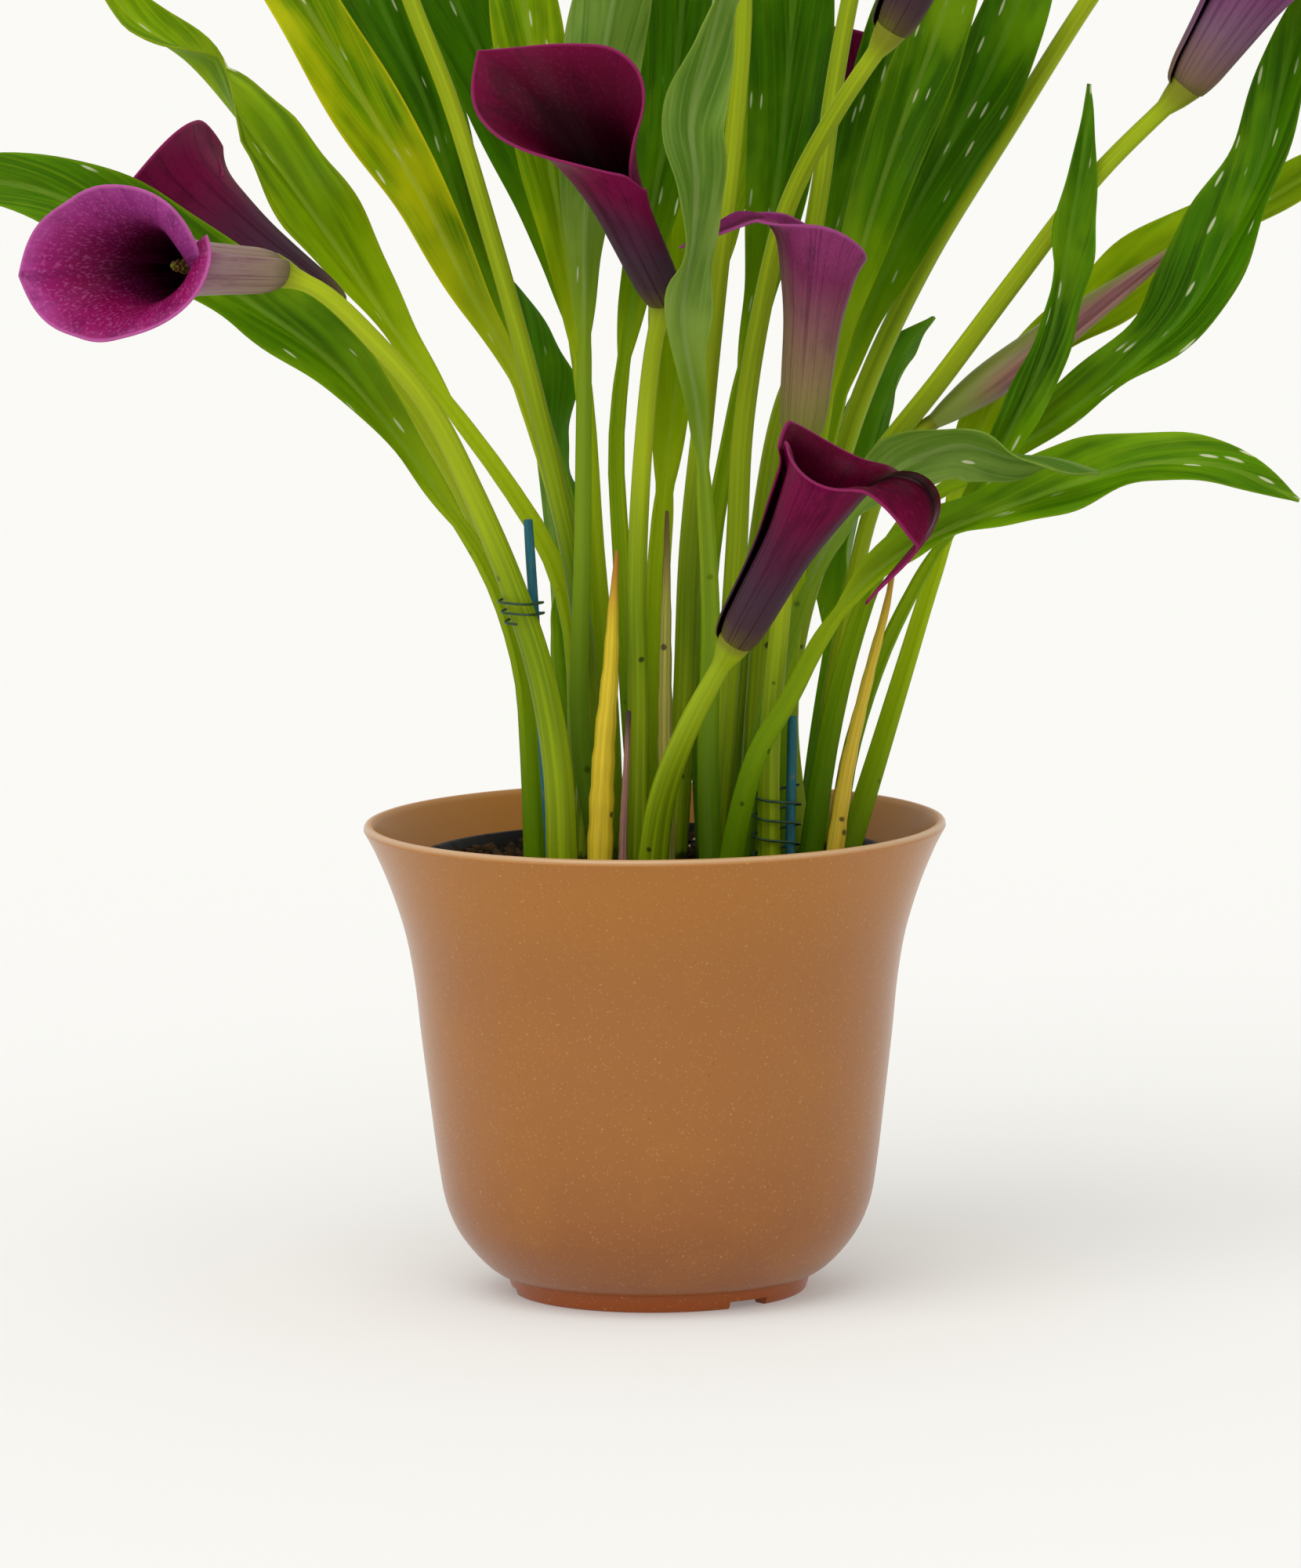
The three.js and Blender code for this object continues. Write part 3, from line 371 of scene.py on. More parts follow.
class Rule(Nodes):
    # a Geometry Nodes tree with named inputs; run() turns a start mesh into a plain mesh piece
    def __init__(self, name, inputs):
        self.group = bpy.data.node_groups.new(name, "GeometryNodeTree")
        super().__init__(self.group)
        face = self.group.interface
        face.new_socket("Geometry", in_out="OUTPUT", socket_type="NodeSocketGeometry")
        self.keys = {}
        for key, value in {"Geometry": "Geometry", **inputs, "Material": "Material"}.items():
            kind = {float: "Float", int: "Int"}.get(type(value), value)
            self.keys[key] = face.new_socket(key, in_out="INPUT", socket_type="NodeSocket" + kind)
            if kind != value:
                self.keys[key].default_value = value
        self.start = self.node("NodeGroupInput")

    def input(self, name):
        return self.start.output(name)

    def end(self, geometry):
        steps = {"RealizeInstances": {}, "SetShadeSmooth": {"Shade Smooth": True},
                 "SetMaterial": {"Material": self.input("Material")}}
        for kind, values in steps.items():
            geometry = self.node("GeometryNode" + kind, {}, {"Geometry": geometry, **values})
        self.node("NodeGroupOutput", {}, {0: geometry})
        return self

    def run(self, name, start, values):
        modifier = start.modifiers.new("rule", "NODES")
        modifier.node_group = self.group
        for key, value in values.items():
            modifier[self.keys[key].identifier] = value
        data, old = evaluated(start), start.data
        data.name = name
        start.modifiers.clear()
        bpy.data.objects.remove(start)
        bpy.data.meshes.remove(old)
        return link(name, data)


# pot: outer decorative pot

potSpec = {
    "wall": [(40, 4.6), (43.1, 5.8), (48.2, 10.4), (52.9, 16.8), (55.8, 23.9), (57.6, 34), (59.6, 50),
             (61.7, 67.4), (63.3, 82.5), (65.3, 94), (67.9, 103.1), (70.6, 110.6), (73.8, 118)],
    "rim": [(76.2, 122.4), (76.1, 123.2), (75.8, 123.7), (75, 124), (74.3, 123.9), (73.8, 123.4),
            (73.2, 122.4)], "hollow": [(51.5, 20), (47.2, 12.4), (43.5, 8.6), (39, 7.4), (0, 7.4)],
    "wallSteps": 46, "thick": 2.4, "foot": 38.5, "footWall": 4.5, "footHeight": 4.6, "footRounding": 0.7,
    "segments": 160, "notches": (-53, 67, 187), "notch": (14, 12, 2), "drains": (22, 4, 4, 30),
    "body": (160, 100, 38), "low": (144, 84, 34), "high": (174, 110, 26), "speck": (208, 168, 120),
    "pit": (92, 54, 24), "foot colour": (160, 78, 14), "lip": (218, 190, 152), "inside": (208, 140, 68),
}


def lathe(name, outline, segments):
    # solid of revolution from points that start and end on the axis
    rings = [(r, z) for r, z in outline if r > 0]
    points = [(0, 0, outline[0][1])]
    for r, z in rings:
        for k in range(segments):
            a = 2 * math.pi * k / segments
            points.append((r * math.cos(a), r * math.sin(a), z))
    points.append((0, 0, outline[-1][1]))
    faces = []
    last = 1 + (len(rings) - 1) * segments
    for k in range(segments):
        n = (k + 1) % segments
        faces.append((0, 1 + n, 1 + k))
        for a in range(1, last, segments):
            faces.append((a + k, a + n, a + segments + n, a + segments + k))
        faces.append((len(points) - 1, last + k, last + n))
    return meshPiece(name, points, faces)


def rounded(outline, radius, steps=3):
    # the outline with each of its corners cut by a short curve
    made = [outline[0]]
    for before, corner, after in zip(outline, outline[1:], outline[2:]):
        a, c, b = (np.array(p, float) for p in (before, corner, after))
        reach = min(radius, np.linalg.norm(a - c) / 2.2, np.linalg.norm(b - c) / 2.2)
        start, end = c + unit(a - c) * reach, c + unit(b - c) * reach
        for k in range(steps + 1):
            t = k / steps
            made.append(tuple((1 - t)**2 * start + 2 * t * (1 - t) * c + t * t * end))
    return made + [outline[-1]]


def cutAway(piece, cutters):
    bpy.ops.object.select_all(action="DESELECT")
    for cutter in cutters:
        cutter.select_set(True)
    bpy.context.view_layer.objects.active = cutters[0]
    bpy.ops.object.join()
    cut = piece.modifiers.new("cut", "BOOLEAN")
    cut.operation, cut.solver, cut.object = "DIFFERENCE", "EXACT", cutters[0]
    data = evaluated(piece)
    piece.modifiers.clear()
    piece.data = data
    bpy.data.objects.remove(cutters[0])
    return keepSmooth(piece)


def block(size, centre, degrees):
    box = bmesh.new()
    bmesh.ops.create_cube(box, size=1)
    turn = Matrix.Rotation(math.radians(degrees), 4, "Z")
    place = turn @ Matrix.Translation(Vector(centre) * mm) @ Matrix.Diagonal((*[s * mm for s in size], 1))
    bmesh.ops.transform(box, matrix=place, verts=box.verts)
    return fromBox("block", box)


def drills(low, high, circle, radius, count, first):
    # round cutters, evenly set on a circle from the first one's angle
    made = []
    for k in range(count):
        box = bmesh.new()
        bmesh.ops.create_cone(box, cap_ends=True, segments=24, radius1=radius * mm, radius2=radius * mm,
                              depth=(high - low) * mm)
        a = math.radians(first + 360 / count * k)
        centre = Vector((circle * math.cos(a), circle * math.sin(a), (low + high) / 2)) * mm
        bmesh.ops.translate(box, vec=centre, verts=box.verts)
        made.append(fromBox("drill", box))
    return made


def potFinish(spec):
    make = Finish("satin brown pot")
    here, height = make.place(), make.height()
    cloud = make.noise(here, 0.035, 3.0, 0.6)
    grain = make.noise(here, 0.9, 3.0, 0.6)
    make.tone = make.mix(height.step(4, 60), spec["low"], spec["body"])
    make.coat(height.step(84, 118) * 0.7, spec["high"])
    make.coat((cloud - 0.5) * 1.2, spec["high"])
    make.coat(1 - height.step(3.4, 6.4), spec["foot colour"])
    make.coat(grain * 0.14, spec["pit"])
    make.coat(make.specks(here, 0.42, (0.05, 0.17), (0.55, 0.68)) * 0.36, spec["speck"])
    make.coat(make.specks(here, 0.9, (0.1, 0.32), (0.3, 0.6)) * 0.22, spec["speck"])
    make.coat(height.step(122.3, 123.7) * 0.55, spec["lip"])
    dark = make.specks(here, 0.3, (0.03, 0.1), (0.72, 0.8))
    make.coat(dark * 0.6, spec["pit"])
    ripple = make.noise(here, 0.35, 4.0, 0.55) * 0.6 + grain * 0.3 - dark * 0.5
    # the wall's middle under the rim, so that the inside is duller than the outside
    away = make.vectors("LENGTH", make.stretch(here, 1, 1, 0), output="Value")
    outside = (away - height * 0.432 - 21.6).step(-0.3, 0.3)
    make.coat((1 - outside) * 0.7, spec["inside"])
    return make.done(grain * 0.12 + 0.42, (ripple, 0.22, 0.35), gloss=0.12,
                     more={"Coat Weight": outside * 0.45 + 0.2, "Coat Roughness": 0.22})


def makePot(spec):
    curve, steps = Route([(r, 0, z) for r, z in spec["wall"]]), spec["wallSteps"]
    wall = [tuple(curve.at(k / steps)[[0, 2]]) for k in range(steps + 1)]
    inner = [(r - spec["thick"], z + 0.5) for r, z in wall if z > 24][::-1]
    base, foot = spec["footHeight"] - 1, spec["foot"]
    edge = foot - spec["footWall"]
    ring = rounded([(0, base), (edge, base), (edge, 0), (foot, 0), wall[0]], spec["footRounding"])
    pot = lathe("pot_body", ring + wall[1:] + spec["rim"] + inner + spec["hollow"], spec["segments"])
    deep, wide, high = spec["notch"]
    cutters = [block((deep, wide, 2 * high), (foot - 2, 0, 0), a) for a in spec["notches"]]
    claim(cutAway(pot, cutters + drills(-1, 12, *spec["drains"])), potFinish(spec), "pot_brown", "pot")


makePot(potSpec)
print("pot made")


# nursery pot: thin black pot inside

nurserySpec = {
    "bottom": 41, "top": 61.5, "wall": 0.9, "floor": 7.7, "height": 115, "lip": 111, "segments": 120,
    "drains": (24, 5, 6, 0), "plastic": (8, 9, 9), "dust": (44, 36, 26),
}


def nurseryFinish(spec):
    make = Finish("black plastic")
    here = make.place()
    dust = make.noise(here, 0.22, 4.0, 0.65).step(0.5, 0.72)
    make.tone = make.mix(dust * 0.55, spec["plastic"], spec["dust"])
    return make.done(dust * 0.35 + 0.5, (make.noise(here, 1.4), 0.15, 0.2), gloss=0.2)


def makeNursery(spec):
    wall, top, floor, height, lip = (spec[key] for key in ("wall", "top", "floor", "height", "lip"))
    under = floor + wall

    def radius(z):
        return spec["bottom"] + (top - spec["bottom"]) * ((z - floor) / (height - floor))

    outline = rounded([
        (0, floor), (spec["bottom"], floor), (radius(60), 60), (radius(lip), lip), (top + 0.8, lip + 0.5),
        (top + 1, height), (top - wall + 0.4, height), (radius(lip) - wall, lip), (radius(60) - wall, 60),
        (radius(under) - wall, under), (0, under)], 0.5, 2)
    pot = cutAway(lathe("nursery_pot_body", outline, spec["segments"]), drills(0, 14, *spec["drains"]))
    claim(pot, nurseryFinish(spec), "nursery_black", "nursery_pot")


makeNursery(nurserySpec)
print("nursery pot made")


# soil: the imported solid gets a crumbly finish, and loose crumbs cover its top

soilSpec = {
    "top": 111, "rough": 0.9, "reach": 59.6, "rings": 22, "sides": 72, "seed": 5,
    "crumb": {"count": 0.62, "size": 0.95, "spread": 0.75, "faces": 1},
    "bark": {"count": 0.05, "size": 2.1, "spread": 0.5, "faces": 2},
    "grit": {"count": 0.09, "size": 0.85, "spread": 0.6, "faces": 2},
    "dark": (15, 10, 4), "brown": (38, 27, 14), "bark tone": (74, 52, 28), "grit tone": (158, 136, 102),
    "pale grit": (206, 190, 160),
}


def soilHeight(x, y):
    coarse = math.sin(x * 0.21 + 1.3) * math.cos(y * 0.17 - 0.4)
    fine = math.sin(x * 0.53 - y * 0.41 + 2.1)
    return soilSpec["top"] + soilSpec["rough"] * (0.6 * coarse + 0.4 * fine)


def soilFinish(name, dark, light, patch, rough=0.95):
    make = Finish(name)
    here = make.place()
    lump = make.noise(here, 0.5, 5.0, 0.7)
    make.tone = make.mix(lump.step(0.35, 0.7), dark, light)
    make.coat(make.noise(here, patch).step(0.55, 0.75) * 0.5, dark)
    return make.done(rough, (lump, 0.8, 0.8), gloss=0.1)


def crumbRule():
    rule = Rule("loose crumbs", {
        "Amount": 1.0, "Crumb size": 0.001, "Size spread": 0.5, "Faces": 1, "Seed": 0})
    seed, spread = rule.input("Seed"), rule.input("Size spread")
    spots = {"Mesh": rule.input("Geometry"), "Density": rule.input("Amount"), "Seed": seed}
    spots = rule.node("GeometryNodeDistributePointsOnFaces", {}, spots, "Points")
    lump = {"Radius": 1.0, "Subdivisions": rule.input("Faces")}
    lump = rule.node("GeometryNodeMeshIcoSphere", {}, lump, "Mesh")
    ragged = rule.node("ShaderNodeTexNoise", {}, {"Scale": 1.6, "Detail": 2.0}, "Color")
    ragged = rule.vectors("SCALE", rule.vectors("SUBTRACT", ragged, (0.5, 0.5, 0.5)), scale=1.5)
    lump = rule.node("GeometryNodeSetPosition", {}, {"Geometry": lump, "Offset": ragged})

    def draw(kind, values, seed, output=0):
        return rule.node("FunctionNodeRandomValue", {"data_type": kind}, {**values, "Seed": seed}, output)

    turn = draw("FLOAT_VECTOR", {0: (0, 0, 0), 1: (6.28, 6.28, 6.28)}, seed)
    flat = draw("FLOAT_VECTOR", {0: (0.55, 0.55, 0.4), 1: (1.5, 1.1, 0.9)}, seed + 3)
    share = draw("FLOAT", {2: 1 - spread, 3: 1 + spread}, seed + 7, 1)
    size = rule.vectors("SCALE", flat, scale=share * rule.input("Crumb size"))
    crumbs = {"Points": spots, "Instance": lump, "Rotation": turn, "Scale": size}
    return rule.end(rule.node("GeometryNodeInstanceOnPoints", {}, crumbs))


def soilTopMesh(spec):
    rings, sides = spec["rings"], spec["sides"]
    points = [(0, 0, soilHeight(0, 0))]
    faces = []
    for i in range(1, rings + 1):
        r = spec["reach"] * i / rings
        for k in range(sides):
            a = 2 * math.pi * k / sides
            x, y = r * math.cos(a), r * math.sin(a)
            points.append((x, y, soilHeight(x, y)))
            n = (k + 1) % sides
            if i == 1:
                faces.append((0, 1 + k, 1 + n))
            else:
                low = 1 + (i - 2) * sides
                faces.append((low + k, low + sides + k, low + sides + n, low + n))
    return meshPiece("soil top", points, faces)


def makeSoil(spec):
    dark, brown, barkTone, gritTone = (spec[key] for key in ("dark", "brown", "bark tone", "grit tone"))
    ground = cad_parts["soil"].data.materials
    ground.clear()
    ground.append(soilFinish("potting mix", dark, brown, 0.12))
    tones = {
        "crumb": soilFinish("peat crumbs", dark, brown, 0.3),
        "bark": soilFinish("bark bits", brown, barkTone, 0.2, 0.85),
        "grit": soilFinish("mineral grit", gritTone, spec["pale grit"], 0.2, 0.9),
    }
    rule = crumbRule()
    for k, (kind, tone) in enumerate(tones.items()):
        look = spec[kind]
        made = rule.run("soil_" + kind, soilTopMesh(spec), {
            "Amount": look["count"] * (1 / mm**2), "Crumb size": look["size"] * mm,
            "Size spread": look["spread"], "Faces": look["faces"], "Seed": spec["seed"] + 11 * k,
            "Material": tone})
        claim(made, tone, "potting_mix")
        print("soil", kind, len(made.data.polygons), "faces")


makeSoil(soilSpec)


# tubers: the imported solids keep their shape

tuberSpec = {"skin": (138, 106, 68), "scar": (92, 66, 40)}


def tuberFinish(spec):
    make = Finish("tuber skin")
    rings = make.noise(make.stretch(make.place(), 0.15, 0.15, 1.6), 1.0, 3.0, 0.6)
    make.tone = make.mix(rings.step(0.4, 0.65), spec["scar"], spec["skin"])
    return make.done(0.85, (rings, 0.5, 0.6))


tuberSkin = tuberFinish(tuberSpec)
for side in ("left", "right"):
    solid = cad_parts["tuber_" + side].data
    solid.materials.clear()
    solid.materials.append(tuberSkin)
print("tubers finished")


# shoots: what grows from the tubers, each along a route of its own

shootSpec = {"exit": 113.6, "foot": 80.6, "gather": 0.8, "left": (-12, 0), "right": (32, 0), "split": 10}


def shootStations(exitPoint, path, shares):
    # places along a shoot: its foot, its way out of the soil, then shares of its free length
    tuber = np.array(shootSpec["left"] if exitPoint[0] < shootSpec["split"] else shootSpec["right"], float)
    foot = np.array([*(tuber + (np.array(exitPoint) - tuber) * shootSpec["gather"]), shootSpec["foot"]])
    out = np.array([*exitPoint, shootSpec["exit"]], float)
    route = Route([out, *path])
    straight = unit(out - foot)
    stations = [(foot, straight, -1.0), (out, unit(straight + route.along(0)), 0.0)]
    stations += [(route.at(s), route.along(s), float(s)) for s in shares if s > 0]
    return stations, route.length


def stemLine(exitPoint, path, rows):
    # centres of a stem, the share of its length at each, and its length
    stations, length = shootStations(exitPoint, path, np.linspace(0, 1, rows)[1:])
    centres = [centre for centre, tangent, at in stations]
    return centres, [max(0, at) for centre, tangent, at in stations], length


def tubeRule():
    rule = Rule("tube along a route", {"Sides": 16})
    line = rule.node("GeometryNodeMeshToCurve", {}, {"Mesh": rule.input("Geometry")})
    circle = {"Resolution": rule.input("Sides"), "Radius": 1.0}
    circle = rule.node("GeometryNodeCurvePrimitiveCircle", {}, circle)
    ring = {"Geometry": circle, "Name": "ring", "Value": rule.node("GeometryNodeInputPosition")}
    circle = rule.node("GeometryNodeStoreNamedAttribute", {"data_type": "FLOAT_VECTOR"}, ring)
    thick = rule.node("GeometryNodeInputNamedAttribute", {}, {"Name": "thick"})
    return rule.end(rule.node("GeometryNodeCurveToMesh", {}, {
        "Curve": line, "Profile Curve": circle, "Scale": thick, "Fill Caps": True}))


tubes = tubeRule()


def tube(name, centres, radii, sides, material, along=None):
    data = bpy.data.meshes.new(name)
    points = np.asarray(centres, float) * mm
    data.from_pydata(points.tolist(), [(k, k + 1) for k in range(len(points) - 1)], [])
    setFloats(data, {
        "thick": np.asarray(radii, np.float32) * mm, "alongMm": walked(points) / mm,
        "along": np.linspace(0, 1, len(points)) if along is None else along})
    return reshape(tubes.run(name, link(name, data), {"Sides": sides, "Material": material}), weld)


# leaves: a petiole that opens into a folded blade with waved edges

leafSpec = {
    "columns": 25, "petioleRows": 12, "bladeRows": 66, "thick": 0.8, "rib": 0.7, "edge": 0.35,
    "petiole": 3.2, "taper": 0.3, "fold": 24, "foldMore": 28, "waves": 2.7, "swing": 2.6,
    "face": (0, -1, 0), "turn": (0, 0, 0), "look": "green", "fleck": (244, 242, 206),
}

# the dark and mid looks are darker copies of the green look: partly the leaves' own darker green and partly
# painted shade for leaves that stand in the clump's shade
leafLooks = {
    "green": {
        "slot": "leaf_green", "body": (112, 160, 0), "deep": (50, 104, 0), "bright": (190, 208, 24),
        "rib": (178, 202, 70), "edge": (196, 200, 30), "petiole": (200, 214, 34), "foot": (112, 150, 0),
        "glow": (210, 228, 4), "flecks": 0.6, "edging": 0.4},
    "dark": {
        "slot": "leaf_dark", "body": (64, 118, 0), "deep": (20, 60, 0), "bright": (128, 172, 8),
        "rib": (126, 170, 50), "edge": (124, 164, 18), "petiole": (176, 198, 16), "foot": (84, 126, 0),
        "glow": (150, 196, 2), "flecks": 0.75, "edging": 0.35},
    "pale": {
        "slot": "leaf_pale", "body": (122, 154, 62), "deep": (80, 120, 36), "bright": (160, 184, 92),
        "rib": (176, 196, 120), "edge": (170, 190, 84), "petiole": (156, 182, 34), "foot": (94, 134, 4),
        "glow": (172, 202, 44), "flecks": 0.45, "edging": 0.4},
    "mid": {
        "slot": "leaf_green", "body": (84, 138, 2), "deep": (40, 92, 0), "bright": (146, 184, 18),
        "rib": (156, 186, 66), "edge": (150, 180, 30), "petiole": (190, 206, 26), "foot": (100, 140, 0),
        "glow": (176, 208, 4), "flecks": 0.6, "edging": 0.4},
    "edged": {
        "slot": "leaf_green", "body": (104, 156, 0), "deep": (58, 112, 0), "bright": (216, 214, 16),
        "rib": (184, 204, 78), "edge": (236, 220, 30), "petiole": (210, 220, 52), "foot": (122, 154, 0),
        "glow": (214, 226, 6), "flecks": 0.6, "edging": 0.8},
}


def leafFinish(name, look):
    make = Finish("leaf " + name)
    along, across, alongMm, acrossMm, blade, seed = make.attributes(
        "along", "across", "alongMm", "acrossMm", "blade", "seed")
    sideMm = abs(acrossMm)
    lean = sideMm - alongMm * 0.1
    fine = make.grain(lean * 1.5, alongMm * 0.016, seed * 40, 3.0, 0.6)
    broad = make.grain(lean * 0.35, alongMm * 0.02, seed * 70)
    cloud = make.grain(acrossMm * 0.06, alongMm * 0.025, seed * 90, 3.0, 0.55)
    make.tone = make.mix(broad.step(0.34, 0.66), look["deep"], look["body"])
    # painted light and shade: the cloud noise lays brighter and darker patches over each leaf, partly the
    # leaf's own mottling and partly painted light and shade for contrast
    make.coat(cloud.step(0.46, 0.72) * 0.8, look["bright"])
    make.coat((1 - cloud.step(0.3, 0.46)) * 0.6, look["deep"])
    make.coat(fine.step(0.45, 0.7) * 0.35, look["bright"])
    make.coat((1 - along.step(0.0, 0.42)) * 0.75, look["petiole"])
    make.coat(abs(across).step(0.9, 1.0) * look["edging"], look["edge"])
    rib = (1 - sideMm.step(0.25, 1.3)) * (1 - along * 0.5)
    make.coat(rib * 0.55, look["rib"])
    spots = make.vector(acrossMm / 2.7 + seed * 9, alongMm / 17, seed * 31)
    cluster = make.grain(acrossMm / 14, alongMm / 34, seed * 57, 1.0).step(0.4, 0.5)
    chosen = make.cells(spots, 1.0, "Color") < look["flecks"]
    fleck = (1 - make.cells(spots, 1.0).step(0.11, 0.17)) * chosen * cluster * blade.step(0.7, 1.0)
    make.coat(fleck * 0.92, leafSpec["fleck"])
    stripe = make.grain(acrossMm * 1.1, alongMm * 0.01, seed * 50)
    # painted shade: the stem colour runs from the petiole colour high up to the darker foot colour low in
    # the clump, where shade falls
    stem = make.mix(make.height().step(120, 205), look["foot"], look["petiole"])
    stem = make.mix(stripe.step(0.3, 0.75) * 0.4, stem, look["body"])
    make.coat((1 - blade.step(0.05, 0.9)) * 0.92, stem)
    make.splash(splashSpec)
    relief = fine * 0.5 + broad * 0.5 + rib * 0.8
    return make.done(0.44 + fine * 0.14, (relief, 0.55, 0.5), gloss=0.1, glow=(look["glow"], 0.44))


leafFinishes = {name: leafFinish(name, look) for name, look in leafLooks.items()}

